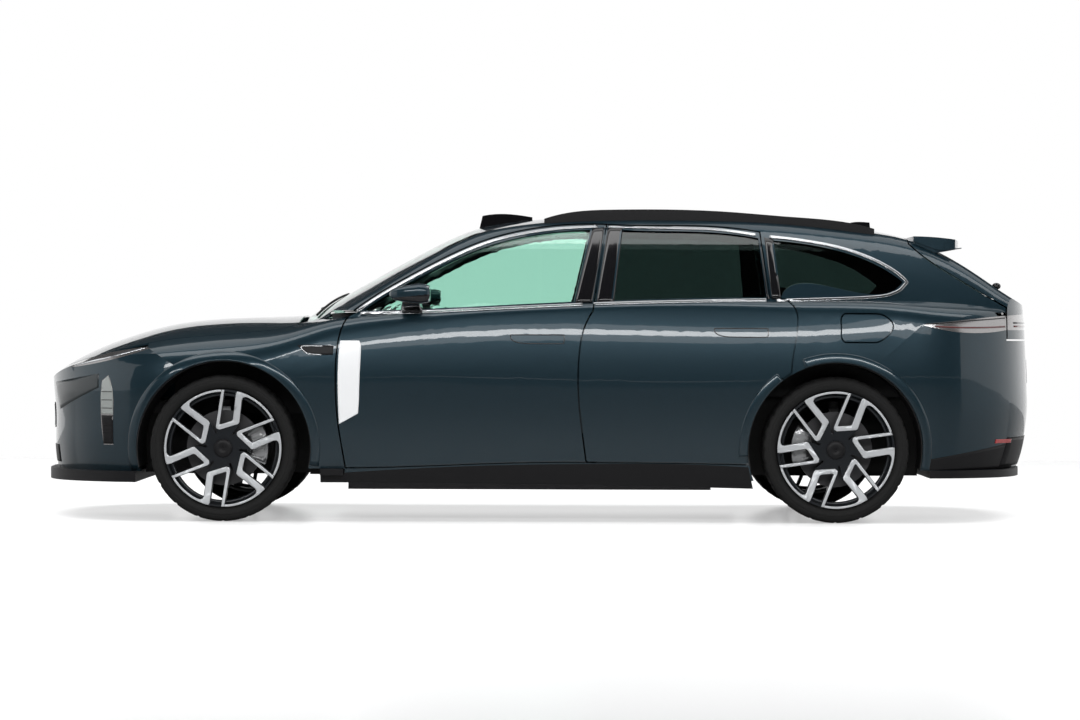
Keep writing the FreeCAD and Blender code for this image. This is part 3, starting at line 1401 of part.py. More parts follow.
def steering_wheel():
    radius, thick = size("wheel_rim_radius"), size("wheel_rim_thickness")
    ring = Part.makeTorus(radius, thick)
    spokes = box(-thick, -radius, -thick / 2, thick, radius, thick / 2)
    column = Part.makeCylinder(thick * 2, radius * 1.6, V(0, 0, -radius * 1.6))
    wheel = ring.fuse(spokes).fuse(column)
    wheel.rotate(V(), V(0, 1, 0), 65)
    wheel.translate(V(along(0.385), -size("seat_offset"), up(0.560)))
    return wheel


def seat(x, width):
    """A front seat: cushion, backrest and headrest."""
    high, thick, floor = size("cushion_height"), size("backrest_thickness"), size("floor_height")
    base = floor + high
    cushion = box(x - width, -width / 2, floor + size("seat_gap"), x, width / 2, base + high / 2)
    back = box(-thick / 2, -width / 2, 0, thick / 2, width / 2, width * 1.15)
    head = box(-thick / 3, -width / 4, width * 1.15, thick / 3, width / 4, width * 1.45)
    back = back.fuse(head)
    back.rotate(V(), V(0, 1, 0), 22)
    back.translate(V(x - thick / 2, 0, base))
    return cushion.fuse(back)


def seats():
    """Two front seats and the rear bench with its backrest."""
    width = size("seat_width")
    front = moved(seat(along(0.55), width), 0, -size("seat_offset"), 0)
    bench = seat(along(0.55) + size("seat_pitch"), width)
    bench = fused_shapes([moved(bench, 0, -width, 0), bench, moved(bench, 0, width, 0)])
    room = box(along(0.3), -size("rear_wheelhouse_inner") + size("running_gap"), 0, along(1.2),
               size("rear_wheelhouse_inner") - size("running_gap"), up(1))
    bench = bench.common(room)
    return Part.makeCompound([front, mirror_shape(front), bench])


def fused_shapes(shapes):
    result = shapes[0]
    for shape in shapes[1:]:
        result = result.fuse(shape)
    return result


dash = across(DASHBOARD_SHARES, size("fender_inner") - size("seat_gap"))
node("dashboard", feature("dashboard", dash))
node("steering_wheel", feature("steering_wheel", steering_wheel().cut(dash)))
node("seats", feature("seats", seats()))

doc.recompute()

for item in doc.Objects:
    if "Invalid" in item.State or "Error" in item.State:
        raise RuntimeError("%s failed: %s" % (item.Label, item.State))
os.makedirs("parts", exist_ok=True)
for outline in (FRONT_DOOR_SHARES, REAR_DOOR_SHARES):
    hinge_x = door_hinge_x(outline)
    widest = max(side_width(hinge_x, z) for z in spread(up(SILL_SHARE), up(0.60), 30))
    print("door hinge at x %.1f, y %.1f" % (hinge_x, widest - size("hinge_depth")))
gate_x = along(1.372) + size("gate_setback")
print("gate hinge at x %.1f, z %.1f" % (gate_x, roof_height(gate_x) - size("gate_hinge_depth")))
bonnet_x = along(0.120) - GAP
print("bonnet hinge at x %.1f, z %.1f" % (bonnet_x, deck_height(bonnet_x)))
flap_x = along(1.020) + GAP
for z in (up(0.57), up(0.61), up(0.655)):
    print("flap hinge at x %.1f, y %.1f, z %.1f" % (flap_x, side_width(flap_x, z), z))
for name, item in NODES.items():
    shape = item.Shape
    print(name, shape.isValid(), len(shape.Solids), round(shape.Volume / 1e6, 2), len(shape.Faces))
    if shape.isNull() or not shape.isValid():
        raise RuntimeError("%s has no valid shape" % name)
for name, item in NODES.items():
    item.Shape.exportStep("parts/%s.step" % name)
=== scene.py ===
# %% [markdown]
# # A dark station wagon in a white studio
#
# The imported CAD model is the frame of this scene: it fixes every size and place. This lesson dresses
# it cell by cell. First come the camera and the light, then the paint and the other finishes, and
# then the small pieces that the solids leave out. All lengths are in metres. +X runs to the tail,
# +Y to the car's right and +Z up, and the photograph looks at the left side.

# %% The imported frame
import math

import bmesh
import bpy
from mathutils import Matrix, Vector
from mathutils.bvhtree import BVHTree


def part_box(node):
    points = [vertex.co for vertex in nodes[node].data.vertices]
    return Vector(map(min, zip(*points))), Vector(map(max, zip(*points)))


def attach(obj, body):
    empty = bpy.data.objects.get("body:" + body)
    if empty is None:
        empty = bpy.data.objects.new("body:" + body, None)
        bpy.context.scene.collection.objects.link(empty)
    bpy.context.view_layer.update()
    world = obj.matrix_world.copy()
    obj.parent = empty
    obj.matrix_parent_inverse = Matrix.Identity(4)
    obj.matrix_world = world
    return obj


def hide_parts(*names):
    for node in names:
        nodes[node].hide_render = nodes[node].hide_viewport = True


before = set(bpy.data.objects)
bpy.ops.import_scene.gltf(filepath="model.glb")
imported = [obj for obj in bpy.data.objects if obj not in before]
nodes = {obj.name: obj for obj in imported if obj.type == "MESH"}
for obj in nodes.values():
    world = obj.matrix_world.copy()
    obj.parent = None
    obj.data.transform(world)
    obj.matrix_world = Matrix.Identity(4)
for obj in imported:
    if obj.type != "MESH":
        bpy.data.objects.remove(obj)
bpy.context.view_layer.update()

# %% [markdown]
# ## The camera
#
# The picture was taken with a long lens from about eighteen metres, level with the windows' lower
# edge. Such a lens keeps the car's shape nearly flat, and the nearer wheels come out only a little
# larger. The camera could be tilted to place the horizon, but that would make upright lines lean. So it
# stays level, its lens is shifted down a little, and the picture is turned by a fifth of a degree.

# %% The camera
LENS_PIXELS = 3733
PICTURE_WIDTH = 1080
HORIZON_SHIFT = 24.4
PICTURE_TURN = math.radians(-0.19)
CAMERA_PLACE = (0.0, -18.53, 0.88)
SENSOR_WIDTH = 36.0
CLIP_END = 200.0

bpy.ops.object.camera_add(location=CAMERA_PLACE, rotation=(math.pi / 2, 0.0, 0.0))
camera = bpy.context.object
camera.name = "camera"
camera.data.sensor_width = SENSOR_WIDTH
camera.data.lens = SENSOR_WIDTH * LENS_PIXELS / PICTURE_WIDTH
camera.data.shift_y = -HORIZON_SHIFT / PICTURE_WIDTH
camera.rotation_euler[1] = PICTURE_TURN
camera.data.clip_end = CLIP_END
bpy.context.scene.camera = camera
print("lens", round(camera.data.lens, 1), "mm")

# %% [markdown]
# ## Floor and light
#
# The studio is a pale floor under a wide soft ceiling light, with a white surround. Dark cards stand
# behind the camera and behind the car and hang high over the floor, as in a car studio, so that the
# sides of the car mirror them and stay deep. Between the cards a narrow strip light, with a wider and
# dimmer one behind it, draws the bright line along the shoulder. The ceiling and the front light only
# fill: nothing mirrors them.

# %% Floor and light
def area_light(name, place, aim, width, height, power, mirrored):
    bpy.ops.object.light_add(type="AREA", location=place)
    lamp = bpy.context.object
    lamp.name = name
    lamp.data.shape = "RECTANGLE"
    lamp.data.size = width
    lamp.data.size_y = height
    lamp.data.energy = power
    lamp.visible_glossy = mirrored
    direction = Vector(aim) - Vector(place)
    lamp.rotation_euler = direction.to_track_quat("-Z", "Y").to_euler()


def stage_plane(name, place, turn, width, height):
    bpy.ops.object.select_all(action="DESELECT")
    bpy.ops.mesh.primitive_plane_add(size=1.0, location=place, rotation=turn)
    plane = bpy.context.object
    plane.name = name
    plane.scale = (width, height, 1.0)
    return plane


bpy.context.scene.view_settings.view_transform = "Standard"
LIGHTS = (  # name, place, aim, width, height, watts, mirrored
    ("ceiling", (0.0, 0.3, 5.6), (0.0, 0.3, 0.0), 12.0, 5.0, 520.0, False),
    ("shoulder_strip", (0.0, -9.5, 4.4), (0.0, 0.0, 0.8), 14.0, 0.6, 330.0, True),
    ("shoulder_glow", (0.0, -9.7, 4.4), (0.0, 0.0, 0.8), 14.0, 1.9, 150.0, True),
    ("upper_strip", (0.0, -1.4, 6.0), (0.0, -0.8, 0.8), 13.0, 1.4, 160.0, True),
    ("front_fill", (0.0, -11.0, 6.5), (0.0, 0.0, 0.4), 12.0, 3.0, 340.0, False),
)
for light in LIGHTS:
    area_light(*light)
FLAT, UPRIGHT = (0.0, 0.0, 0.0), (math.pi / 2, 0.0, 0.0)
floor = stage_plane("floor", (0.0, -11.0, 0.0), FLAT, 70.0, 38.0)
cards = (
    stage_plane("back_card", (0.0, -36.0, 12.0), UPRIGHT, 100.0, 24.0),
    stage_plane("far_card", (0.0, 36.0, 27.0), UPRIGHT, 140.0, 35.0),
    stage_plane("top_card", (0.0, -17.0, 20.0), FLAT, 74.0, 37.0),
)

print("lights", len(LIGHTS), "cards", len(cards))

# %% [markdown]
# ## White surround
#
# Round the car hang white cloths in a real studio. Here the world stands for them. It is white where
# the camera or a reflection sees it and softer where it only lights, so that the paint keeps its depth.
# A Light Path node tells these rays apart; hung cloths could do it too, but each would need its place.

# %% White surround
world = bpy.data.worlds.new("studio")
world.use_nodes = True
bpy.context.scene.world = world
tree = world.node_tree
tree.nodes.clear()
output, mix, white, soft, path, either, any_of = (tree.nodes.new("ShaderNode" + kind) for kind in (
    "OutputWorld", "MixShader", "Background", "Background", "LightPath", "Math", "Math"))
either.operation = "MAXIMUM"
any_of.operation = "MAXIMUM"
for background, colour, strength in ((white, (1.0, 1.0, 1.0), 1.0), (soft, (0.95, 0.97, 1.0), 0.45)):
    background.inputs["Color"].default_value = colour + (1.0,)
    background.inputs["Strength"].default_value = strength
for source, target in (
    (path.outputs["Is Camera Ray"], either.inputs[0]), (path.outputs["Is Glossy Ray"], either.inputs[1]),
    (either.outputs["Value"], any_of.inputs[0]), (path.outputs["Is Transmission Ray"], any_of.inputs[1]),
    (any_of.outputs["Value"], mix.inputs["Fac"]), (soft.outputs["Background"], mix.inputs[1]),
    (white.outputs["Background"], mix.inputs[2]), (mix.outputs["Shader"], output.inputs["Surface"]),
):
    tree.links.new(source, target)
print("surround", [node.name for node in (white, soft)])

# %% [markdown]
# ## Two effects that many finishes share
#
# No real finish is even. Its gloss drifts a little from place to place, and moulded or cast surfaces
# have a fine grain. Each material could hold its own noise nodes, but then a change has to be made many
# times. So each effect is a node group with named inputs, built once. `gloss_drift` gives a roughness
# between two limits, and `fine_grain` gives a height for a Bump node. Both read the object's own
# coordinates and so stay with a piece that moves.

# %% Two effects that many finishes share
def noise_effect(name, output, *inputs):
    """A node group round a noise texture, with named inputs and one output."""
    group = bpy.data.node_groups.new(name, "ShaderNodeTree")
    for label in ("Scale", "Detail") + inputs:
        kind = "NodeSocketVector" if label == "Stretch" else "NodeSocketFloat"
        group.interface.new_socket(label, in_out="INPUT", socket_type=kind)
    group.interface.new_socket(output, in_out="OUTPUT", socket_type="NodeSocketFloat")
    given, result, texture, place = (group.nodes.new(kind) for kind in (
        "NodeGroupInput", "NodeGroupOutput", "ShaderNodeTexNoise", "ShaderNodeTexCoord"))
    for label in ("Scale", "Detail"):
        group.links.new(given.outputs[label], texture.inputs[label])
    return group, given, result, texture, place


DRIFT_INPUTS = ("Stretch", "Lowest", "Highest")
gloss_drift, given, result, texture, place = noise_effect("gloss_drift", "Gloss", *DRIFT_INPUTS)
mapping = gloss_drift.nodes.new("ShaderNodeMapping")
limits = gloss_drift.nodes.new("ShaderNodeMapRange")
for source, target in (
    (place.outputs["Object"], mapping.inputs["Vector"]),
    (given.outputs["Stretch"], mapping.inputs["Scale"]),
    (mapping.outputs["Vector"], texture.inputs["Vector"]),
    (texture.outputs["Fac"], limits.inputs["Value"]),
    (given.outputs["Lowest"], limits.inputs["To Min"]),
    (given.outputs["Highest"], limits.inputs["To Max"]),
    (limits.outputs["Result"], result.inputs["Gloss"]),
):
    gloss_drift.links.new(source, target)
fine_grain, given, result, texture, place = noise_effect("fine_grain", "Height")
fine_grain.links.new(place.outputs["Object"], texture.inputs["Vector"])
fine_grain.links.new(texture.outputs["Fac"], result.inputs["Height"])
print("shared effects", [group.name for group in bpy.data.node_groups])

# %% [markdown]
# ## From sockets to a finish
#
# Most of the car's finishes differ only in a colour, a gloss and a grain. One helper makes them all:
# `surface` takes its roughness as (noise scale, lowest, highest) and its relief as (noise scale, detail,
# strength, depth), and any other socket by its name.

# %% From sockets to a finish
def material(name, **sockets):
    made = bpy.data.materials.new(name)
    made.use_nodes = True
    shader = made.node_tree.nodes["Principled BSDF"]
    for socket, value in sockets.items():
        label = socket.replace("_", " ")
        if isinstance(value, tuple) and len(value) == 3:
            value = value + (1.0,)
        shader.inputs[label].default_value = value
    return made


def feed(made, socket, value):
    made.node_tree.links.new(value, made.node_tree.nodes["Principled BSDF"].inputs[socket])


def placed(made, effect, **values):
    """Places a shared effect in a material with the material's own values."""
    node = made.node_tree.nodes.new("ShaderNodeGroup")
    node.node_tree = effect
    for label, value in values.items():
        node.inputs[label].default_value = value
    return node.outputs[0]


def surface(name, roughness, relief=None, detail=3.0, stretch=(1.0, 1.0, 1.0), **sockets):
    """A material whose gloss drifts, with fine grain where it is given."""
    made = material(name, **sockets)
    scale, low, high = roughness
    feed(made, "Roughness",
         placed(made, gloss_drift, Scale=scale, Detail=detail, Stretch=stretch, Lowest=low, Highest=high))
    if relief:
        grain, grain_detail, strength, depth = relief
        bump = made.node_tree.nodes.new("ShaderNodeBump")
        bump.inputs["Strength"].default_value = strength
        bump.inputs["Distance"].default_value = depth
        height = placed(made, fine_grain, Scale=grain, Detail=grain_detail)
        made.node_tree.links.new(height, bump.inputs["Height"])
        feed(made, "Normal", bump.outputs["Normal"])
    return made


def glass(name, tint, share_through, roughness):
    return surface(name, (20.0, roughness * 0.6, roughness * 1.4), Base_Color=tint, IOR=1.5,
                   Transmission_Weight=share_through)


print("a surface has", [socket.name for socket in gloss_drift.interface.items_tree])

# %% [markdown]
# ## Paint
#
# The paint is a dark blue-green base with metal flakes under a clear coat. Flakes could be a picture,
# but a very fine noise through a colour ramp does the same at every distance. The clear coat mirrors
# sharply, and the base under it glows softly where the strip lights graze it.

# %% Paint
PAINT_DEEP, PAINT_FLAKE = (0.006, 0.018, 0.027), (0.014, 0.043, 0.061)
FLAKES = {"Scale": 1400.0, "Detail": 2.0, "Roughness": 0.7}
FLAKES_START, FLAKES_END = 0.35, 0.68
paint = surface("paint", (900.0, 0.30, 0.42), Metallic=0.6, Coat_Weight=1.0, Coat_Roughness=0.03,
                Coat_IOR=1.45)
place, flakes, ramp = (paint.node_tree.nodes.new("ShaderNode" + kind) for kind in (
    "TexCoord", "TexNoise", "ValToRGB"))
for label, value in FLAKES.items():
    flakes.inputs[label].default_value = value
stops = ((FLAKES_START, PAINT_DEEP), (FLAKES_END, PAINT_FLAKE))
for stop, (position, colour) in zip(ramp.color_ramp.elements, stops):
    stop.position = position
    stop.color = colour + (1.0,)
paint.node_tree.links.new(place.outputs["Object"], flakes.inputs["Vector"])
paint.node_tree.links.new(flakes.outputs["Fac"], ramp.inputs["Fac"])
feed(paint, "Base Color", ramp.outputs["Color"])
print("paint from", PAINT_DEEP, "to", PAINT_FLAKE)

# %% [markdown]
# ## The other finishes
#
# Trim is black plastic, matt on the skirts and glossy on the pillars. The window strips are satin
# chrome, the rims dark with machined faces, and the glass has a green tint, darker behind the front
# seats. Each could be one plain colour; a little drift and grain keep large pieces from looking flat.

# %% The other finishes
gloss_black = surface("gloss_black", (60.0, 0.06, 0.12), Base_Color=(0.006, 0.006, 0.007), Coat_Weight=0.5,
                      Coat_Roughness=0.04)
trim_black = surface("trim_black", (300.0, 0.35, 0.5), (1500.0, 3.0, 0.15, 0.0003),
                     Base_Color=(0.008, 0.008, 0.009), Specular_IOR_Level=0.24)
satin_chrome = surface("satin_chrome", (400.0, 0.18, 0.28), Base_Color=(0.62, 0.64, 0.66), Metallic=1.0)
coated_steel = surface("coated_steel", (40.0, 0.5, 0.75), Base_Color=(0.016, 0.016, 0.017), Metallic=0.2)
cast_alloy = surface("cast_alloy", (120.0, 0.32, 0.55), (700.0, 3.0, 0.3, 0.0006),
                     Base_Color=(0.42, 0.43, 0.44), Metallic=1.0)
battery_case = surface("battery_case", (30.0, 0.4, 0.6), Base_Color=(0.10, 0.10, 0.105), Metallic=0.8)
cabin_trim = surface("cabin_trim", (200.0, 0.5, 0.7), (900.0, 4.0, 0.4, 0.0005),
                     Base_Color=(0.020, 0.020, 0.022))
seat_cloth = surface("seat_cloth", (500.0, 0.6, 0.85), (1200.0, 4.0, 0.5, 0.0008),
                     Base_Color=(0.030, 0.030, 0.033), Sheen_Weight=0.3)
clear_glass = glass("clear_glass", (0.60, 0.86, 0.76), 1.0, 0.01)
dark_glass = glass("dark_glass", (0.10, 0.145, 0.135), 1.0, 0.01)
tyre_rubber = surface("tyre_rubber", (90.0, 0.55, 0.78), (800.0, 4.0, 0.25, 0.0005),
                      Base_Color=(0.010, 0.010, 0.010), Specular_IOR_Level=0.22)
rim_dark = surface("rim_dark", (300.0, 0.25, 0.4), Base_Color=(0.018, 0.021, 0.025), Metallic=0.6,
                   Coat_Weight=0.6, Coat_Roughness=0.06)
rim_bright = surface("rim_bright", (900.0, 0.32, 0.42), detail=2.0, Base_Color=(0.64, 0.66, 0.68),
                     Metallic=0.55, Coat_Weight=0.3, Coat_Roughness=0.1)
disc_steel = surface("disc_steel", (250.0, 0.25, 0.45), Base_Color=(0.13, 0.13, 0.135), Metallic=1.0)
white_film = surface("white_film", (150.0, 0.3, 0.42), Base_Color=(0.82, 0.83, 0.84), Coat_Weight=0.6,
                     Coat_Roughness=0.08)
lamp_shell = surface("lamp_shell", (80.0, 0.10, 0.34), stretch=(1.0, 1.0, 30.0),
                     Base_Color=(0.34, 0.33, 0.33), Metallic=0.85, Coat_Weight=1.0, Coat_Roughness=0.02)
print("finishes", len(bpy.data.materials))

# %% [markdown]
# ## Floor and cards
#
# The cards are dead black. The floor is white and a little glossy. A real photographer would light the
# floor by itself until it is white and yet keep it from flooding the sills with light. Here the Light
# Path node does it: the camera sees the floor a little brighter than it is lit, and the paint mirrors it
# darker.

# %% Floor and cards
card_black = material("card_black", Base_Color=(0.02, 0.02, 0.02), Roughness=0.9)
for card in cards:
    card.data.materials.append(card_black)

FLOOR_LIFT, FLOOR_SEEN, FLOOR_MIRRORED = 0.36, 0.80, 0.22
floor_white = surface("floor_white", (3.0, 0.20, 0.30), Specular_IOR_Level=0.3,
                      Emission_Color=(1.0, 1.0, 1.0))
ray, lift, tone = (floor_white.node_tree.nodes.new("ShaderNode" + kind) for kind in (
    "LightPath", "Math", "MapRange"))
lift.operation = "MULTIPLY"
lift.inputs[1].default_value = FLOOR_LIFT
tone.inputs["To Min"].default_value = FLOOR_SEEN
tone.inputs["To Max"].default_value = FLOOR_MIRRORED
floor_white.node_tree.links.new(ray.outputs["Is Camera Ray"], lift.inputs[0])
floor_white.node_tree.links.new(ray.outputs["Is Glossy Ray"], tone.inputs["Value"])
feed(floor_white, "Emission Strength", lift.outputs["Value"])
feed(floor_white, "Base Color", tone.outputs["Result"])
floor.data.materials.append(floor_white)
print("materials", len(bpy.data.materials))

# %% [markdown]
# ## Finishes on the CAD pieces
#
# The solids keep their shapes and take these finishes. They could be given one by one; a table of
# finishes with the pieces that wear them is shorter and easier to check. Tyres, rims and discs are
# found by their names.

# %% Finishes on the CAD pieces
DOORS = ("front_door_left", "front_door_right", "rear_door_left", "rear_door_right")
FINISHED_NODES = (
    (paint, ("body_sides", "fenders", "front_bumper", "rear_bumper", "roof", "cowl", "bonnet", "tailgate",
             "charge_flap", "mirror_left", "mirror_right") + DOORS),
    (clear_glass, ("windscreen", "front_glass_left", "front_glass_right")),
    (dark_glass, ("tailgate_glass", "quarter_glass", "rear_glass_left", "rear_glass_right")),
    (lamp_shell, ("headlamps", "tail_lamps", "gate_lamp")),
    (trim_black, ("lower_trim", "roof_rails")),
    (gloss_black, ("roof_sensors",)),
    (cabin_trim, ("dashboard", "steering_wheel")),
    (seat_cloth, ("seats",)),
    (battery_case, ("drive_pack",)),
    (coated_steel, ("front_axle", "rear_axle", "underbody")),
    (cast_alloy, ("front_knuckle_left", "front_knuckle_right")),
)
FINISH = {name: finish for finish, names in FINISHED_NODES for name in names}
for name, node in nodes.items():
    finish = FINISH.get(name)
    if finish is None:
        finish = tyre_rubber if "tyre" in name else rim_dark if "rim" in name else disc_steel
    for slot in node.material_slots:
        slot.material = finish
    if not node.material_slots:
        node.data.materials.append(finish)
print("finished", len(nodes), "nodes")

# %% [markdown]
# ## Places on the car
#
# Places are shares that follow the axles: -1 is the nose, 0 the front axle, 1 the rear axle and 2 the
# tail. Heights are shares of the body's height. Both are read from the frame, so a changed car keeps
# its dress. Plain metres would be shorter to write, but they would fit this one length only.

# %% Places on the car
def middle_of(name):
    low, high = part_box(name)
    return (Vector(low) + Vector(high)) / 2


FRONT_AXLE = middle_of("front_rim_left")
REAR_AXLE = middle_of("rear_rim_left")
WHEELBASE = REAR_AXLE.x - FRONT_AXLE.x
FRONT_OVERHANG_SHARE, REAR_OVERHANG_SHARE, BODY_HEIGHT_SHARE = 0.313, 0.3463, 0.5194
FRONT_OVERHANG = FRONT_OVERHANG_SHARE * WHEELBASE
REAR_OVERHANG = REAR_OVERHANG_SHARE * WHEELBASE
BODY_HEIGHT = BODY_HEIGHT_SHARE * WHEELBASE


def along(share):
    if share < 0:
        return FRONT_AXLE.x + share * FRONT_OVERHANG
    if share > 1:
        return REAR_AXLE.x + (share - 1) * REAR_OVERHANG
    return FRONT_AXLE.x + share * WHEELBASE


def up(share):
    return share * BODY_HEIGHT


print("wheelbase", round(WHEELBASE, 3), "m")

# %% [markdown]
# ## Smooth outlines
#
# A few marks and a steady hand draw a window line on the real car's clay model. Here a smooth curve
# through a few places does the same, and its points are then spaced evenly, so that the cells of a strip
# all have about the same size. A Bezier curve object could draw it too, but its handles would have to be
# set one by one.

# %% Smooth outlines
CURVE_STEPS = 24


def curve_points(shares, count):
    """Even steps along a smooth curve through points given as (place, height) shares."""
    corners = [Vector((along(place), up(height))) for place, height in shares]
    padded = [2 * corners[0] - corners[1]] + corners + [2 * corners[-1] - corners[-2]]
    fine = []
    for before, here, after, beyond in zip(padded, padded[1:], padded[2:], padded[3:]):
        for step in range(CURVE_STEPS):
            t = step / CURVE_STEPS
            fine.append(0.5 * (2 * here + (after - before) * t
                               + (2 * before - 5 * here + 4 * after - beyond) * t * t
                               + (3 * here - before - 3 * after + beyond) * t * t * t))
    fine.append(corners[-1])
    lengths = [0.0]
    for a, b in zip(fine, fine[1:]):
        lengths.append(lengths[-1] + (b - a).length)
    found, index = [], 0
    for step in range(count):
        goal = lengths[-1] * step / (count - 1)
        while index < len(fine) - 2 and lengths[index + 1] < goal:
            index += 1
        part = (goal - lengths[index]) / max(lengths[index + 1] - lengths[index], 1e-9)
        found.append(fine[index].lerp(fine[index + 1], part))
    return found


half_way = curve_points([(0.0, 0.5), (0.5, 0.6), (1.0, 0.5)], 3)[1]
print("half way along a bowed line lies", [round(value, 3) for value in half_way])

# %% [markdown]
# ## Pieces that lie on the skin
#
# Strips, films and seams lie on the side of the car. They could be modelled flat and pressed on with a
# Shrinkwrap modifier, but that pulls their edges about. Instead their outlines are drawn in the side
# view and thrown onto the CAD skin by rays along the width, so they look right from the side. The
# search tree below answers such a ray quickly.

# %% Pieces that lie on the skin
def skin_of(*names):
    """One search tree over the meshes of some CAD nodes."""
    points, faces = [], []
    for name in names:
        mesh = nodes[name].data
        base = len(points)
        points += [vertex.co.copy() for vertex in mesh.vertices]
        faces += [[base + index for index in face.vertices] for face in mesh.polygons]
    return BVHTree.FromPolygons(points, faces)


LEFT_SKIN = skin_of(
    "body_sides", "fenders", "front_bumper", "rear_bumper", "front_door_left", "rear_door_left",
    "charge_flap", "front_glass_left", "rear_glass_left", "quarter_glass", "tail_lamps", "headlamps",
)
BESIDE_THE_CAR = 2.0


def first_hit(skin, place, direction):
    """Where a ray first meets a skin, or None."""
    return skin.ray_cast(Vector(place), Vector(direction))[0]


def width_at(x, z, skin=LEFT_SKIN):
    """How far left the skin lies at a side-view place."""
    hit = first_hit(skin, (x, -BESIDE_THE_CAR, z), (0, 1, 0))
    return hit.y if hit is not None else None


print("beside the front wheel the skin lies at", round(width_at(FRONT_AXLE.x, 0.8), 3), "m")

# %% [markdown]
# ## From points to a piece
#
# A piece that follows the skin starts as points and faces. These helpers put them into the scene with
# their finishes, turn all faces outwards and apply a modifier.

# %% From points to a piece
def linked(name, mesh, *finishes):
    """Puts a mesh into the scene as a piece with its finishes."""
    piece = bpy.data.objects.new(name, mesh)
    bpy.context.scene.collection.objects.link(piece)
    for finish in finishes:
        piece.data.materials.append(finish)
    return piece


def piece_from(name, work, *finishes):
    """Turns a finished bmesh into a piece."""
    mesh = bpy.data.meshes.new(name)
    work.to_mesh(mesh)
    work.free()
    return linked(name, mesh, *finishes)


def mesh_piece(name, points, faces, finish, smooth=True):
    mesh = bpy.data.meshes.new(name)
    mesh.from_pydata([tuple(point) for point in points], [], faces)
    work = bmesh.new()
    work.from_mesh(mesh)
    bmesh.ops.recalc_face_normals(work, faces=work.faces)
    work.to_mesh(mesh)
    work.free()
    for face in mesh.polygons:
        face.use_smooth = smooth
    return linked(name, mesh, finish)


def apply_modifier(piece, kind, **settings):
    modifier = piece.modifiers.new(kind, kind)
    for key, value in settings.items():
        setattr(modifier, key, value)
    with bpy.context.temp_override(object=piece, active_object=piece, selected_objects=[piece]):
        bpy.ops.object.modifier_apply(modifier=modifier.name)


print("piece helpers ready")

# %% [markdown]
# ## Sheets, and their mirror images
#
# A film or a strip on the real car is a thin sheet stuck on the skin. `sheet_on` throws a grid of points
# onto the skin, lifts it a little and closes it into a slab. The right side could be thrown too, but a
# mirrored copy is sure to match. `both_sides` makes it, and each copy rides on the body it is named for.

# %% Sheets, and their mirror images
def slab(grid, thickness):
    """Points and faces of a closed sheet over a grid of (x, y, z), thickened to the car's inside."""
    rows, columns = len(grid), len(grid[0])
    outer = [point for row in grid for point in row]
    inner = [Vector((point[0], point[1] + thickness, point[2])) for point in outer]
    faces = []
    for i in range(rows - 1):
        for j in range(columns - 1):
            a, b = i * columns + j, i * columns + j + 1
            c, d = b + columns, a + columns
            faces.append((a, b, c, d))
            faces.append(tuple(index + len(outer) for index in (d, c, b, a)))
    rim = list(range(columns)) + [i * columns + columns - 1 for i in range(1, rows)]
    rim += [(rows - 1) * columns + j for j in range(columns - 2, -1, -1)]
    rim += [i * columns for i in range(rows - 2, 0, -1)]
    for a, b in zip(rim, rim[1:] + rim[:1]):
        faces.append((b, a, a + len(outer), b + len(outer)))
    return outer + inner, faces


def filled(widths):
    """Gives points that missed the skin the width of their nearest neighbour."""
    known = [value for value in widths if value is not None]
    if not known:
        return [0.0] * len(widths)
    result, last = [], known[0]
    for value in widths:
        last = value if value is not None else last
        result.append(last)
    return result


OFFSET, THICKNESS = 0.0015, 0.0012


def sheet_on(name, rows, finish, offset=OFFSET, thickness=THICKNESS, skin=LEFT_SKIN):
    """A sheet of side-view rows, thrown onto the skin and lifted by an offset."""
    grid = []
    for row in rows:
        widths = filled([width_at(point[0], point[1], skin) for point in row])
        grid.append([Vector((point[0], width - offset, point[1])) for point, width in zip(row, widths)])
    points, faces = slab(grid, thickness)
    return mesh_piece(name, points, faces, finish)


def mirrored(piece, name):
    points = [Vector((v.co.x, -v.co.y, v.co.z)) for v in piece.data.vertices]
    faces = [tuple(reversed(face.vertices)) for face in piece.data.polygons]
    twin = mesh_piece(name, points, faces, piece.data.materials[0])
    for finish in piece.data.materials[1:]:
        twin.data.materials.append(finish)
    for face, source in zip(twin.data.polygons, piece.data.polygons):
        face.material_index = source.material_index
        face.use_smooth = source.use_smooth
    return twin


def both_sides(piece, body_left, body_right=None):
    """Rides a left piece on its body and gives the right side its mirror image."""
    twin = mirrored(piece, piece.name + "_right")
    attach(piece, body_left)
    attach(twin, body_right or body_left)
    return piece, twin


def on_doors(piece, door):
    return both_sides(piece, door + "_left", door + "_right")


print("sheets stand", OFFSET, "m off the skin")

# %% [markdown]
# ## Ribbons and patches
#
# Two kinds of outline cover nearly all the pieces on the skin: a ribbon of even width along a curve, as
# tape is laid, and a patch between two edge curves.

# %% Ribbons and patches
def ribbon(shares, width, count=60, across=3):
    """Side-view rows of a strip with a middle line and a width."""
    line = curve_points(shares, count)
    rows = []
    for index, point in enumerate(line):
        before = line[max(index - 1, 0)]
        after = line[min(index + 1, count - 1)]
        direction = (after - before).normalized()
        normal = Vector((-direction.y, direction.x))
        rows.append([point + normal * width * (step / (across - 1) - 0.5) for step in range(across)])
    return rows


def between(low_shares, high_shares, count, across):
    """Side-view rows of a patch between two edge curves."""
    low, high = curve_points(low_shares, count), curve_points(high_shares, count)
    return [[a.lerp(b, step / (across - 1)) for step in range(across)] for a, b in zip(low, high)]


print("a ribbon of two points has", len(ribbon([(0.0, 0.5), (1.0, 0.5)], 0.01)), "rows")

# %% [markdown]
# ## Strips round the side windows
#
# A satin chrome strip runs over the windows, round the rear quarter and forward along the belt. One
# long strip would tear when a door opens, so each door carries its own length of it.

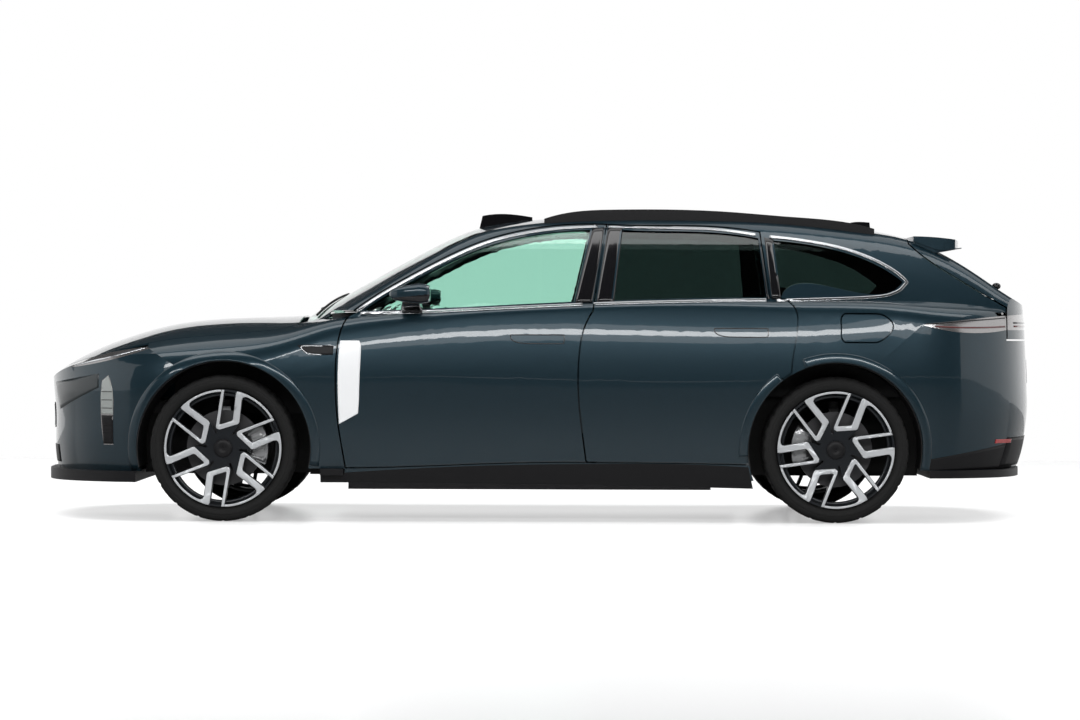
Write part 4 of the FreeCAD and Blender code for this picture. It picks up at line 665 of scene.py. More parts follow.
# %% Strips round the side windows
STRIP_WIDTH, STRIP_OFFSET, STRIP_THICKNESS = 0.014, 0.004, 0.003
top_strip_share = [
    (0.216, 0.661), (0.253, 0.712), (0.310, 0.775), (0.367, 0.832), (0.418, 0.876), (0.467, 0.905),
    (0.539, 0.929), (0.612, 0.938),
]
rear_top_share = [(0.624, 0.938), (0.748, 0.933), (0.814, 0.928), (0.874, 0.912)]
quarter_share = [
    (0.897, 0.906), (0.948, 0.895), (1.023, 0.874), (1.173, 0.841), (1.285, 0.802), (1.352, 0.764),
    (1.340, 0.750), (1.300, 0.729), (1.180, 0.712), (0.905, 0.700),
]
front_belt_share = [(0.222, 0.655), (0.337, 0.662), (0.468, 0.675), (0.586, 0.686)]
rear_belt_share = [(0.604, 0.688), (0.700, 0.694), (0.811, 0.699), (0.888, 0.702)]
strips = (
    ("front_top_strip", top_strip_share, "front_door"), ("rear_top_strip", rear_top_share, "rear_door"),
    ("quarter_strip", quarter_share, "body"), ("front_belt_strip", front_belt_share, "front_door"),
    ("rear_belt_strip", rear_belt_share, "rear_door"),
)
for name, shares, body in strips:
    piece = sheet_on(name, ribbon(shares, STRIP_WIDTH, 80, 5), satin_chrome, STRIP_OFFSET, STRIP_THICKNESS)
    if body == "body":
        both_sides(piece, body)
    else:
        on_doors(piece, body)
print("strips", len(strips))

# %% [markdown]
# ## Black pillar panels
#
# The pillars between the doors and before the quarter window are covered with gloss black panels, so
# that the windows read as one dark band. Each is a patch between its front and its rear edge. A darker
# finish on the door itself would do from afar, but it would have no edge of its own.

# %% Black pillar panels
PANEL_OFFSET = 0.003
panels = (  # name, front edge, rear edge, steps, door
    ("front_pillar_panel", [(0.574, 0.690), (0.603, 0.930)], [(0.602, 0.690), (0.6235, 0.934)],
     (20, 5), "front_door"),
    ("rear_pillar_panel", [(0.609, 0.692), (0.6285, 0.934)], [(0.638, 0.694), (0.654, 0.932)],
     (20, 5), "rear_door"),
    ("rear_post_panel", [(0.889, 0.705), (0.879, 0.908)], [(0.8935, 0.705), (0.8825, 0.908)],
     (12, 3), "rear_door"),
)
for name, front_share, rear_share, steps, door in panels:
    on_doors(sheet_on(name, between(front_share, rear_share, *steps), gloss_black, PANEL_OFFSET), door)
body_post_rows = between([(0.8975, 0.704), (0.888, 0.903)], [(0.912, 0.704), (0.9035, 0.896)], 12, 4)
both_sides(sheet_on("quarter_post_panel", body_post_rows, gloss_black, PANEL_OFFSET), "body")
print("pillar panels", len(panels) + 1, "on each side")

# %% [markdown]
# ## White strip, handles and vent
#
# The front door wears a bare white strip, which is a thin film between two curves. The handles lie
# flush, so only a fine dark seam shows. Cutting them into the door would give a real gap, but at this
# distance a dark ribbon looks the same and leaves the CAD door whole; its black is painted shade, the
# shade that would fall into the gap. The fender vent is a black slot with a thin bright edge, made as a
# patch and a ribbon over it.

# %% White strip, handles and vent
strip_front_share = [(0.1905, 0.569), (0.1880, 0.520), (0.1870, 0.450), (0.1875, 0.380), (0.1890, 0.307)]
strip_rear_share = [(0.2215, 0.569), (0.2245, 0.548), (0.2225, 0.450), (0.2215, 0.380), (0.2200, 0.340)]
FILM_OFFSET, FILM_THICKNESS = 0.0012, 0.0008
strip_rows = between(strip_front_share, strip_rear_share, 40, 10)
on_doors(sheet_on("white_strip", strip_rows, white_film, FILM_OFFSET, FILM_THICKNESS), "front_door")
# Sizes of the gloss black ribbons of painted shade round the handles.
GAP_SHADE_WIDTH, GAP_SHADE_OFFSET, GAP_SHADE_THICKNESS = 0.0045, 0.0010, 0.0010
HANDLE_STEP_SHARE = (0.3330, 0.0225)
front_handle_share = [
    (0.4683, 0.5850), (0.4690, 0.5775), (0.4750, 0.5685), (0.4880, 0.5628), (0.5150, 0.5615),
    (0.5515, 0.5618), (0.5556, 0.5660), (0.5556, 0.5835), (0.5525, 0.5885), (0.5150, 0.5890),
    (0.4715, 0.5885), (0.4683, 0.5850),
]
rear_handle_share = [(x + HANDLE_STEP_SHARE[0], z + HANDLE_STEP_SHARE[1]) for x, z in front_handle_share]
# Each handle's seam is a gloss black ribbon: painted shade where the real gap would be.
for end, shares in (("front", front_handle_share), ("rear", rear_handle_share)):
    gap_shade_rows = ribbon(shares, GAP_SHADE_WIDTH, 120, 3)
    seam = sheet_on(end + "_handle_gap_shade", gap_shade_rows, gloss_black, GAP_SHADE_OFFSET, GAP_SHADE_THICKNESS)
    on_doors(seam, end + "_door")
VENT_OFFSET, VENT_EDGE_OFFSET, VENT_EDGE_WIDTH = 0.0014, 0.0032, 0.005
vent_low_share = [(0.1215, 0.552), (0.1350, 0.530), (0.1560, 0.524), (0.1790, 0.524)]
vent_high_share = [(0.1205, 0.554), (0.1400, 0.556), (0.1600, 0.555), (0.1800, 0.553)]
vent_rows = between(vent_low_share, vent_high_share, 30, 6)
both_sides(sheet_on("fender_vent", vent_rows, trim_black, VENT_OFFSET), "body")
vent_edge_share = [(0.1620, 0.5515), (0.1400, 0.552), (0.1270, 0.549), (0.1370, 0.529), (0.1600, 0.524)]
edge_rows = ribbon(vent_edge_share, VENT_EDGE_WIDTH, 60, 3)
both_sides(sheet_on("vent_edge", edge_rows, satin_chrome, VENT_EDGE_OFFSET), "body")

# %% [markdown]
# ## Tyres
#
# Each tyre is turned from a profile with four grooves round the tread, like clay on a wheel. Narrow
# cross grooves break the shoulders into blocks, and fine ribs ring the plain sidewalls. A Screw modifier
# could turn the profile, but here each step of the turn can also sink single points, and that cuts the
# cross grooves without a boolean. First come the sizes and the turning.

# %% Tyres
SEGMENTS = 216
TYRE_LOW, TYRE_HIGH = [Vector(corner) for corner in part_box("front_tyre_left")]
TYRE_RADIUS = (TYRE_HIGH.z - TYRE_LOW.z) / 2
HALF_TYRE = (TYRE_HIGH.y - TYRE_LOW.y) / 2
RIM_LOW, RIM_HIGH = [Vector(corner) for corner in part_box("front_rim_left")]
RIM_RADIUS = (RIM_HIGH.z - RIM_LOW.z) / 2
HALF_RIM = (RIM_HIGH.y - RIM_LOW.y) / 2
WALL_HEIGHT = TYRE_RADIUS - RIM_RADIUS
WHEELS = [(end, side, middle_of("%s_rim_%s" % (end, side)), 1 if side == "left" else -1)
          for end in ("front", "rear") for side in ("left", "right")]


def turned(profile, centre, mirror, segments=SEGMENTS, relief=None):
    """Points and faces of a closed ring turned about the wheel's axle from (width, radius) points."""
    points, faces = [], []
    count = len(profile)
    for turn in range(segments):
        angle = 2 * math.pi * turn / segments
        for index, (width, radius) in enumerate(profile):
            if relief:
                radius -= relief(turn, index)
            points.append(Vector((centre.x + radius * math.sin(angle), centre.y + mirror * width,
                                  centre.z + radius * math.cos(angle))))
    for turn in range(segments):
        here, ahead = turn * count, (turn + 1) % segments * count
        for index in range(count):
            beside = (index + 1) % count
            faces.append((here + index, here + beside, ahead + beside, ahead + index))
    return points, faces


print("tyre radius", round(TYRE_RADIUS, 3), "rim radius", round(RIM_RADIUS, 3))

# %% [markdown]
# ## Tread
#
# The profile runs from the outer bead over the tread to the inner bead. Its points are shares of the
# tyre's half width and of the sidewall's height, so that they can be read off a drawing of any tyre.

# %% Tread
GROOVE = 0.007
GROOVE_PLACES, GROOVE_HALF_SHARE = (-0.52, -0.18, 0.18, 0.52), 0.045
GROOVE_SHAPE = ((-1.6, 0.0), (-1.0, 0.15), (-0.7, 1.0), (0.7, 1.0), (1.0, 0.15), (1.6, 0.0))
SHOULDER = HALF_TYRE * 0.60
TREAD_DEPTH_SHARE = 0.12
BLOCK_STEPS, NICK_STEPS = 6, 4


def tread_profile():
    """The outer half-outline of a tyre, from the outer bead over the tread to the inner bead."""
    wall_shares = [
        (-0.700, 0.000), (-0.790, 0.015), (-0.835, 0.060), (-0.850, 0.100), (-0.900, 0.150),
        (-0.950, 0.240), (-0.985, 0.370), (-0.998, 0.480), (-0.992, 0.560), (-0.984, 0.575),
        (-0.989, 0.590), (-0.978, 0.680), (-0.958, 0.770), (-0.930, 0.850), (-0.900, 0.905),
        (-0.860, 0.945), (-0.800, 0.972), (-0.720, 0.986),
    ]
    left = [(HALF_TYRE * w, RIM_RADIUS + WALL_HEIGHT * h) for w, h in wall_shares]
    tread = []
    for middle_share in GROOVE_PLACES:
        middle, half = middle_share * HALF_TYRE, GROOVE_HALF_SHARE * HALF_TYRE
        tread += [(middle + half * width, TYRE_RADIUS - GROOVE * depth) for width, depth in GROOVE_SHAPE]
    right = [(-w, r) for w, r in reversed(left)]
    inner_shares = [(0.66, -0.02), (0.70, 0.50), (0.50, 0.72), (-0.50, 0.72), (-0.70, 0.50),
                    (-0.66, -0.02)]
    inner = [(HALF_TYRE * w, RIM_RADIUS + WALL_HEIGHT * h) for w, h in inner_shares]
    return left + tread + right + inner


PROFILE = tread_profile()


def block_relief(turn, index):
    """Cross grooves: every sixth step sinks the shoulders, every fourth step nicks the ribs."""
    width, radius = PROFILE[index]
    if radius < TYRE_RADIUS - TREAD_DEPTH_SHARE * WALL_HEIGHT:
        return 0.0
    if abs(width) > SHOULDER:
        return GROOVE * 0.8 if turn % BLOCK_STEPS == 0 else 0.0
    return GROOVE * 0.5 if turn % NICK_STEPS == 0 and radius > TYRE_RADIUS - GROOVE * 0.5 else 0.0


for end, side, centre, mirror in WHEELS:
    name = "%s_tyre_%s" % (end, side)
    points, faces = turned(PROFILE, centre, mirror, relief=block_relief)
    tyre = mesh_piece(name + "_tread", points, faces, tyre_rubber)
    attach(tyre, "%s_wheel_%s" % (end, side))
    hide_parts(name)
print("tyre faces", len(tyre.data.polygons))

# %% [markdown]
# ## Machined wheel faces
#
# Every group of the six has a thin arm, a slanted foot and a thick arm that runs out into a bright arc
# on the rim's lip. On the real rim a lathe skims the painted casting, so only its front is bright. One
# outline in shares of the rim's radius draws the group, and a plate stands on it: bright in front, dark
# at the sides, rising towards the lip. A bevel between two finishes would blur this sharp change.

# %% Machined wheel faces
FACE_DEPTH = 0.86 * HALF_RIM
FACE_LIFT, LIP_GAP = 0.0014, 0.0004
RISE_START, RISE_SPAN = 0.40, 0.56
PLATE_START, PLATE_CUTS = 0.010, 3
ARM_GROUPS = 6
REAR_PHASE = math.radians(13.4)


def arc_shares(radius, start, end, count):
    """Points along an arc, in shares; 0 degrees points to +X and 90 up."""
    angles = [math.radians(start + (end - start) * i / (count - 1)) for i in range(count)]
    return [(radius * math.cos(angle), radius * math.sin(angle)) for angle in angles]


group_share = (
    [(-0.024, 0.996), (-0.122, 0.376), (-0.113, 0.336), (-0.062, 0.314), (0.257, 0.412), (0.276, 0.442),
     (0.318, 0.820), (0.336, 0.858), (0.376, 0.872)]
    + arc_shares(0.962, 64, 31.8, 14) + arc_shares(0.998, 31.8, 76.0, 18)
    + [(0.222, 0.930), (0.166, 0.486), (0.140, 0.462), (-0.040, 0.404), (-0.064, 0.412), (0.024, 0.996)]
)


def even_outline(shares, step):
    """A closed outline with points added so that no edge is longer than a step."""
    result = []
    for (ax, az), (bx, bz) in zip(shares, shares[1:] + shares[:1]):
        pieces = max(1, int(math.hypot(bx - ax, bz - az) / step))
        result += [(ax + (bx - ax) * i / pieces, az + (bz - az) * i / pieces) for i in range(pieces)]
    return result


def face_height(radius_share):
    """How far out the machined face stands at a radius: flush with the lip at its rim."""
    rise = min(max((radius_share - RISE_START) / RISE_SPAN, 0.0), 1.0)
    return FACE_DEPTH + FACE_LIFT + (HALF_RIM - FACE_DEPTH - LIP_GAP) * rise


def plate_piece(name, outline, centre, mirror, count, phase, finish, side_finish, depth_of, back):
    """Plates with one outline, each a sixth of a turn on, as one mesh."""
    work = bmesh.new()
    for turn in range(count):
        angle = phase + turn * math.pi / (ARM_GROUPS / 2)
        front, rear = [], []
        for x, z in outline:
            rx = x * math.cos(angle) + z * math.sin(angle)
            rz = z * math.cos(angle) - x * math.sin(angle)
            place = (centre.x + rx * RIM_RADIUS, centre.z + rz * RIM_RADIUS)
            front.append(work.verts.new((place[0], centre.y - mirror * (back + PLATE_START), place[1])))
            rear.append(work.verts.new((place[0], centre.y - mirror * back, place[1])))
        cap = work.faces.new(front)
        cap.material_index = 0
        foot = work.faces.new(list(reversed(rear)))
        foot.material_index = 1
        for i in range(len(front)):
            j = (i + 1) % len(front)
            wall = work.faces.new((front[j], front[i], rear[i], rear[j]))
            wall.material_index = 1
    bmesh.ops.recalc_face_normals(work, faces=work.faces)
    wide = [face for face in work.faces if len(face.verts) > 4]
    bmesh.ops.triangulate(work, faces=wide, ngon_method="EAR_CLIP")
    caps = [face for face in work.faces if face.material_index == 0]
    bmesh.ops.subdivide_edges(work, edges=list({edge for face in caps for edge in face.edges}), cuts=PLATE_CUTS)
    for face in work.faces:
        if face.material_index == 0:
            face.smooth = True
            for corner in face.verts:
                radius = math.hypot(corner.co.x - centre.x, corner.co.z - centre.z)
                corner.co.y = centre.y - mirror * depth_of(radius / RIM_RADIUS)
    return piece_from(name, work, finish, side_finish)


print("a sixth of the machined face has", len(group_share), "corners")

# %% [markdown]
# ## Faces, caps and steps on each wheel
#
# The plate above is laid on all four rims. A plain cap closes the hub, and a dark step inside the barrel
# catches the light as the real rim's inner edge does. Both are turned, like the tyres.

# %% Faces, caps and steps on each wheel
CAP_LIFT, CAP_PINHOLE, PLATE_DEPTH = 0.012, 0.0001, 0.010
RING_SEGMENTS = 96


def ring_piece(name, profile, centre, mirror, finish):
    points, faces = turned(profile, centre, mirror, RING_SEGMENTS)
    return mesh_piece(name, points, faces, finish)


cap_profile_share = [(0.0, 0.0), (0.0, 0.10), (0.010, 0.145), (0.022, 0.157), (0.060, 0.160), (0.060, 0.0)]
group_outline = even_outline(group_share, 0.035)
step_profile_share = [(0.80, 0.885), (0.86, 0.905), (0.86, 0.945), (0.70, 0.945), (0.70, 0.885)]
step_profile = [(-FACE_DEPTH * w, RIM_RADIUS * r) for w, r in step_profile_share]
cap_profile = [(-(FACE_DEPTH + CAP_LIFT) + w * RIM_RADIUS, r * RIM_RADIUS + CAP_PINHOLE)
               for w, r in cap_profile_share]
for end, side, centre, mirror in WHEELS:
    phase = REAR_PHASE if end == "rear" else 0.0
    wheel = "%s_wheel_%s" % (end, side)
    tag = "%s_%s" % (end, side)
    faces_piece = plate_piece("machined_face_" + tag, group_outline, centre, mirror, ARM_GROUPS, phase,
                              rim_bright, rim_dark, face_height, FACE_DEPTH - PLATE_DEPTH)
    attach(faces_piece, wheel)
    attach(ring_piece("hub_cap_" + tag, cap_profile, centre, mirror, trim_black), wheel)
    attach(ring_piece("barrel_step_" + tag, step_profile, centre, mirror, rim_dark), wheel)
print("machined faces", len(faces_piece.data.polygons))

# %% [markdown]
# ## Flares round the wheel arches
#
# A raised band of paint runs round every arch. It could be a bent tube with a boolean, but the band has
# to melt into the skin. So its rows are arcs about the axle, thrown onto the skin; the lift grows to the
# arch's edge and fades at the outer crease. The rear door carries the part of the rear band that crosses
# it. Where a ray slips past an edge the skin's width jumps, and the rows beyond the jump are left out.

# %% Flares round the wheel arches
ARCH_EDGE, FLARE_EDGE = 0.4135, 0.457
FLARE_LIFT, FLARE_BASE, FLARE_THICKNESS = 0.007, 0.0006, 0.006
FLARE_ROWS, FLARE_LANES, FLARE_JUMP = 72, 9, 0.012
FLARE_START, FRONT_FLARE_END, DOOR_FLARE_END = -24, 207, 201
BEHIND_THE_DOOR, ON_THE_DOOR = 3.0, 2.0
REAR_DOOR_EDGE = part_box("rear_door_left")[1][0]


def flare(name, axle, start, end):
    """The left band of an arch between two angles, in degrees from the tail upwards."""
    rows, last = [], None
    for step in range(FLARE_ROWS):
        angle = math.radians(start + (end - start) * step / (FLARE_ROWS - 1))
        row = []
        for lane in range(FLARE_LANES):
            share = lane / (FLARE_LANES - 1)
            radius = ARCH_EDGE + (FLARE_EDGE - ARCH_EDGE) * share
            row.append((axle.x + radius * math.cos(angle), axle.z + radius * math.sin(angle),
                        FLARE_LIFT * (1 - share ** 3) + FLARE_BASE))
        widths = filled([width_at(x, z) for x, z, _ in row])
        if last is not None and max(abs(width - old) for width, old in zip(widths, last)) > FLARE_JUMP:
            if step > FLARE_ROWS // 2:
                break
            rows.clear()
        last = widths
        rows.append([Vector((x, width - lift, z)) for (x, z, lift), width in zip(row, widths)])
    print(name, "rows", len(rows), "of", FLARE_ROWS)
    points, faces = slab(rows, FLARE_THICKNESS)
    return mesh_piece(name, points, faces, paint)


door_angle = math.degrees(math.acos((REAR_DOOR_EDGE - REAR_AXLE.x) / FLARE_EDGE))
both_sides(flare("front_flare", FRONT_AXLE, FLARE_START, FRONT_FLARE_END), "body")
both_sides(flare("rear_flare", REAR_AXLE, FLARE_START, door_angle - BEHIND_THE_DOOR), "body")
on_doors(flare("rear_door_flare", REAR_AXLE, door_angle + ON_THE_DOOR, DOOR_FLARE_END), "rear_door")
print("flares from", round(ARCH_EDGE, 3), "to", round(FLARE_EDGE, 3))

# %% [markdown]
# ## Tail lamps
#
# The tail lamps are smoky shells with a fine dark line and a thin red light guide. Real lamps are clear
# shells with reflectors inside. Here the shell and its inside are one bright, streaked finish, because
# at this distance glass over a hollow turns black. The streaks come from a stretched drift, and the line
# and the guide are ribbons on the shells.

# %% Tail lamps
red_guide = surface("red_guide", (400.0, 0.12, 0.25), Base_Color=(0.09, 0.020, 0.020), Coat_Weight=1.0,
                    Coat_Roughness=0.03)
LAMP_OFFSET, LAMP_THICKNESS = 0.0012, 0.001
TAIL_SKIN = skin_of("tail_lamps", "gate_lamp", "body_sides", "tailgate", "rear_bumper")
dark_line_share = [(1.425, 0.6265), (1.560, 0.634), (1.700, 0.641), (1.829, 0.6475)]
guide_share = [(1.470, 0.6195), (1.600, 0.6165), (1.720, 0.617), (1.829, 0.620)]
for name, rows, finish in (("lamp_dark_line", ribbon(dark_line_share, 0.006), gloss_black),
                           ("lamp_guide", ribbon(guide_share, 0.008), red_guide)):
    both_sides(sheet_on(name, rows, finish, LAMP_OFFSET, LAMP_THICKNESS, TAIL_SKIN), "body")
print("tail lamps with a line and a guide")

# %% [markdown]
# ## Lamps in the nose
#
# The headlamps are bright housings like the tail lamps, with a daylight strip along the foot. In the
# corners of the nose a pale face with fine lines lies over a black vent with three bars, and a sheet of
# painted shade runs from it towards the middle: paint darker than the body, where a facet of the nose
# turns from the light. Recesses would be truer, but they are a hand wide and seen from far, so patches
# and ribbons at slightly different heights give the same steps.

# %% Lamps in the nose
lamp_white = surface("lamp_white", (120.0, 0.08, 0.2), Base_Color=(0.75, 0.77, 0.80), Metallic=0.9,
                     Coat_Weight=1.0)
lamp_warm = surface("lamp_warm", (400.0, 0.25, 0.45), Base_Color=(0.27, 0.29, 0.28), Coat_Weight=1.0,
                    Coat_Roughness=0.03)
# Painted shade: paint darker than the body, for a facet of the nose that turns from the light.
painted_shade_facet = surface("painted_shade_facet", (300.0, 0.25, 0.4), Base_Color=(0.012, 0.018, 0.021), Coat_Weight=0.3,
                      Coat_Roughness=0.1)
NOSE_SKIN = skin_of("headlamps", "front_bumper", "fenders", "bonnet")
CORNER_LINE_FEET, CORNER_LINE_HEIGHT = (0.352, 0.378, 0.404), 0.0018
VENT_BARS, VENT_BAR_FOOT, VENT_BAR_STEP, VENT_BAR_RISE = 3, 0.256, 0.022, 0.002
CORNER_OFFSET, LINE_OFFSET, DAYLIGHT_OFFSET = 0.0015, 0.0030, 0.0016
BAR_OFFSET, BAR_THICKNESS = 0.0045, 0.003
corner_left_share = [(-0.6515, 0.335), (-0.6550, 0.385), (-0.6480, 0.438)]
corner_right_share = [(-0.5855, 0.335), (-0.5880, 0.410), (-0.6130, 0.455)]
# The outline of the sheet of painted shade on the nose's facet.
painted_shade_low_share = [(-0.915, 0.345), (-0.800, 0.380), (-0.668, 0.418)]
painted_shade_high_share = [(-0.950, 0.432), (-0.800, 0.448), (-0.668, 0.462)]
vent_front_share, vent_rear_share = [(-0.641, 0.240), (-0.651, 0.330)], [(-0.586, 0.240), (-0.586, 0.330)]
daylight_share = [(-0.815, 0.4885), (-0.640, 0.5105), (-0.500, 0.5325), (-0.415, 0.5455)]
corner_lines, vent_bars = [], []
for index, foot in enumerate(CORNER_LINE_FEET):
    top = foot + CORNER_LINE_HEIGHT
    rows = between([(-0.652, foot), (-0.652, top)], [(-0.590, foot), (-0.590, top)], 4, 10)
    corner_lines.append(("corner_line_%d" % index, rows, trim_black, LINE_OFFSET, LAMP_THICKNESS))
for index in range(VENT_BARS):
    height = VENT_BAR_FOOT + VENT_BAR_STEP * index
    rows = ribbon([(-0.640, height), (-0.590, height + VENT_BAR_RISE)], 0.006, 12)
    vent_bars.append(("vent_bar_%d" % index, rows, trim_black, BAR_OFFSET, BAR_THICKNESS))
nose_pieces = [  # name, rows, finish, offset, thickness
    ("corner_face", between(corner_left_share, corner_right_share, 24, 10), lamp_warm, CORNER_OFFSET,
     LAMP_THICKNESS),
    *corner_lines,
    # Painted shade on the nose's facet: a sheet darker than the paint.
    ("nose_facet", between(painted_shade_low_share, painted_shade_high_share, 24, 8), painted_shade_facet, LAMP_OFFSET,
     LAMP_THICKNESS),
    ("corner_vent", between(vent_front_share, vent_rear_share, 12, 8), trim_black, CORNER_OFFSET,
     LAMP_THICKNESS),
    *vent_bars,
    ("daylight_strip", ribbon(daylight_share, 0.010), lamp_white, DAYLIGHT_OFFSET, LAMP_THICKNESS),
]
for name, rows, finish, offset, thickness in nose_pieces:
    both_sides(sheet_on(name, rows, finish, offset, thickness, NOSE_SKIN), "body")
print("nose pieces", len(nose_pieces), "on each side")

# %% [markdown]
# ## Seats: one pad
#
# The plain seat blocks are replaced by padded seats. A cloth simulation could fill them, but behind the
# dark glass a formed pad shows as much and builds at once. Each pad starts as a rounded block whose top
# is crowned, and narrow grooves press the seams in. Front seats and bench share one piece, since they
# ride on the same body.

# %% Seats: one pad
PAD_STEPS = 26
SEAM_DEPTH = 0.010
PAD_POWER = 5.0


def pad(work, middle, half, crown, seams, tilt=0.0):
    """Adds a rounded, crowned pad with seam grooves to a mesh, tilted about the car's width."""
    start = len(work.verts)
    made = bmesh.ops.create_cube(work, size=2.0)
    edges = list({edge for vertex in made["verts"] for edge in vertex.link_edges})
    bmesh.ops.subdivide_edges(work, edges=edges, cuts=PAD_STEPS, use_grid_fill=True)
    work.verts.ensure_lookup_table()
    turn = Matrix.Rotation(tilt, 3, "Y")
    for vertex in work.verts[start:]:
        place = vertex.co.copy()
        reach = max(abs(place.x), abs(place.y), abs(place.z))
        norm = sum(abs(value) ** PAD_POWER for value in place) ** (1 / PAD_POWER)
        place *= reach / max(norm, 1e-6)
        x, y, z = place
        lift = crown * (1 - min(x * x, 1.0)) * (1 - min(y * y, 1.0)) if z > 0 else 0.0
        dent = 0.0
        if z > 0:
            for axis, at, width in seams:
                value = abs(y) if axis == "y" else x
                dent += SEAM_DEPTH * math.exp(-(value - at) ** 2 / (2 * width * width))
        local = Vector((x * half.x, y * half.y, z * half.z + lift - dent))
        vertex.co = turn @ local + middle


print("a pad's sides have", PAD_STEPS, "cuts")

# %% [markdown]
# ## Seats in the cabin
#
# Each seat is three pads: a cushion, a backrest that leans back and a headrest. The grooves mark its
# bolsters. The front seats and the bench behind them use the same pads at two widths, as a real seat
# maker uses one pattern.

# %% Seats in the cabin
BACK_LEAN = 22
CUSHION_LENGTH, CUSHION_HEIGHT, BACK_LENGTH, BACK_DEPTH = 0.245, 0.070, 0.290, 0.060
HEAD_HALF_HEIGHT, HEAD_WIDTH_SHARE, HEAD_DEPTH = 0.062, 0.24, 0.040


def bowl_seat(work, x, y, width, base):
    """Cushion, backrest and headrest of one seat, with its bolsters marked by seams."""
    cushion = Vector((CUSHION_LENGTH, width / 2, CUSHION_HEIGHT))
    pad(work, Vector((x - 0.250, y, base + 0.055)), cushion, 0.018, [("y", 0.58, 0.035), ("x", 0.15, 0.03)])
    tilt = math.radians(BACK_LEAN - 90)
    lean = Vector((math.sin(math.radians(BACK_LEAN)), 0.0, math.cos(math.radians(BACK_LEAN))))
    back_middle = Vector((x - 0.065, y, base)) + lean * 0.315
    pad(work, back_middle, Vector((BACK_LENGTH, width / 2, BACK_DEPTH)), 0.012,
        [("y", 0.58, 0.035), ("x", -0.35, 0.03), ("x", 0.35, 0.03)], tilt)
    head_middle = Vector((x - 0.065, y, base)) + lean * 0.655
    headrest = Vector((HEAD_HALF_HEIGHT, width * HEAD_WIDTH_SHARE, HEAD_DEPTH))
    pad(work, head_middle, headrest, 0.008, [("y", 0.7, 0.05)], tilt)


FRONT_SEAT_WIDTH, BENCH_SEAT_WIDTH = 0.490, 0.445
SEAT_BASE = 0.412
FRONT_SEAT_X = along(0.55)
BENCH_X = FRONT_SEAT_X + 0.780
work = bmesh.new()
for place in (-0.370, 0.370):
    bowl_seat(work, FRONT_SEAT_X, place, FRONT_SEAT_WIDTH, SEAT_BASE)
for place in (-0.449, 0.0, 0.449):
    bowl_seat(work, BENCH_X, place, BENCH_SEAT_WIDTH, SEAT_BASE)
for face in work.faces:
    face.smooth = True
seat_set = piece_from("seat_set", work, seat_cloth)
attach(seat_set, "body")
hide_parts("seats")
print("seat faces", len(seat_set.data.polygons))

# %% [markdown]
# ## Calipers
#
# Each disc is clasped by a bright fixed caliper: a curved bridge with two raised housings and a rib
# between them. It sits over the CAD caliper, behind the front axle and ahead of the rear one. Ring
# sectors make all four parts, because a caliper follows its disc; blocks would cut across it.

# %% Calipers
caliper_silver = surface("caliper_silver", (220.0, 0.22, 0.4), (900.0, 3.0, 0.2, 0.0004),
                         Base_Color=(0.62, 0.63, 0.64), Metallic=0.9, Coat_Weight=0.4)
DISC_LOW, DISC_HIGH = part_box("front_disc_left")
DISC_RADIUS = (DISC_HIGH[2] - DISC_LOW[2]) / 2
DISC_SHARE = DISC_RADIUS / RIM_RADIUS
CALIPER_BACK = 0.024
CALIPER_PARTS = (  # inner and outer share of the disc, low and high angle, depth
    (0.64, 1.16, -20, 32, 0.0395), (0.72, 1.08, -14, 3, 0.0440), (0.72, 1.08, 9, 26, 0.0440),
    (0.84, 0.96, 3.5, 8.5, 0.0430),
)


def sector_share(inner, outer, low, high, count=14):
    """A ring sector's outline in shares of the rim's radius; 0 degrees points to +X."""
    outer_arc = arc_shares(outer, low, high, count)
    return outer_arc + list(reversed(arc_shares(inner, low, high, count)))


def flat_depth(depth):
    """A plate's depth that is the same at every radius."""
    return lambda radius: depth


for end, side, centre, mirror in WHEELS:
    body = "front_knuckle_" + side if end == "front" else "body"
    shift = 0 if end == "front" else 180
    for index, (inner, outer, low, high, depth) in enumerate(CALIPER_PARTS):
        low, high = (low, high) if end == "front" else (-high, -low)
        outline = sector_share(inner * DISC_SHARE, outer * DISC_SHARE, low + shift, high + shift)
        name = "caliper_%d_%s_%s" % (index, end, side)
        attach(plate_piece(name, outline, centre, mirror, 1, 0.0, caliper_silver, cast_alloy,
                            flat_depth(depth), CALIPER_BACK), body)
print("calipers with", len(CALIPER_PARTS), "parts each")

# %% [markdown]
# ## Panels behind the wheels, and seals
#
# Dark felt panels close the wheelhouses towards the drive units. A short trim block closes the sill's
# front end under the fender, and two thin seals hide the slits at the sill's end and at the foot of the
# seam between the doors. All are flat boxes: nothing but their dark faces shows.

# %% Panels behind the wheels, and seals
felt = surface("wheelhouse_felt", (150.0, 0.8, 0.98), (600.0, 4.0, 0.6, 0.001),
               Base_Color=(0.010, 0.010, 0.010))


def block_piece(name, low, high, finish, edge=0.002):
    """A box with softened edges between two corners."""
    x0, y0, z0 = low
    x1, y1, z1 = high
    corners = [(x0, y0, z0), (x1, y0, z0), (x1, y1, z0), (x0, y1, z0),
               (x0, y0, z1), (x1, y0, z1), (x1, y1, z1), (x0, y1, z1)]
    sides = [(0, 3, 2, 1), (4, 5, 6, 7), (0, 1, 5, 4), (1, 2, 6, 5), (2, 3, 7, 6), (3, 0, 4, 7)]
    piece = mesh_piece(name, corners, sides, finish, False)
    apply_modifier(piece, "BEVEL", width=edge, segments=2)
    return piece


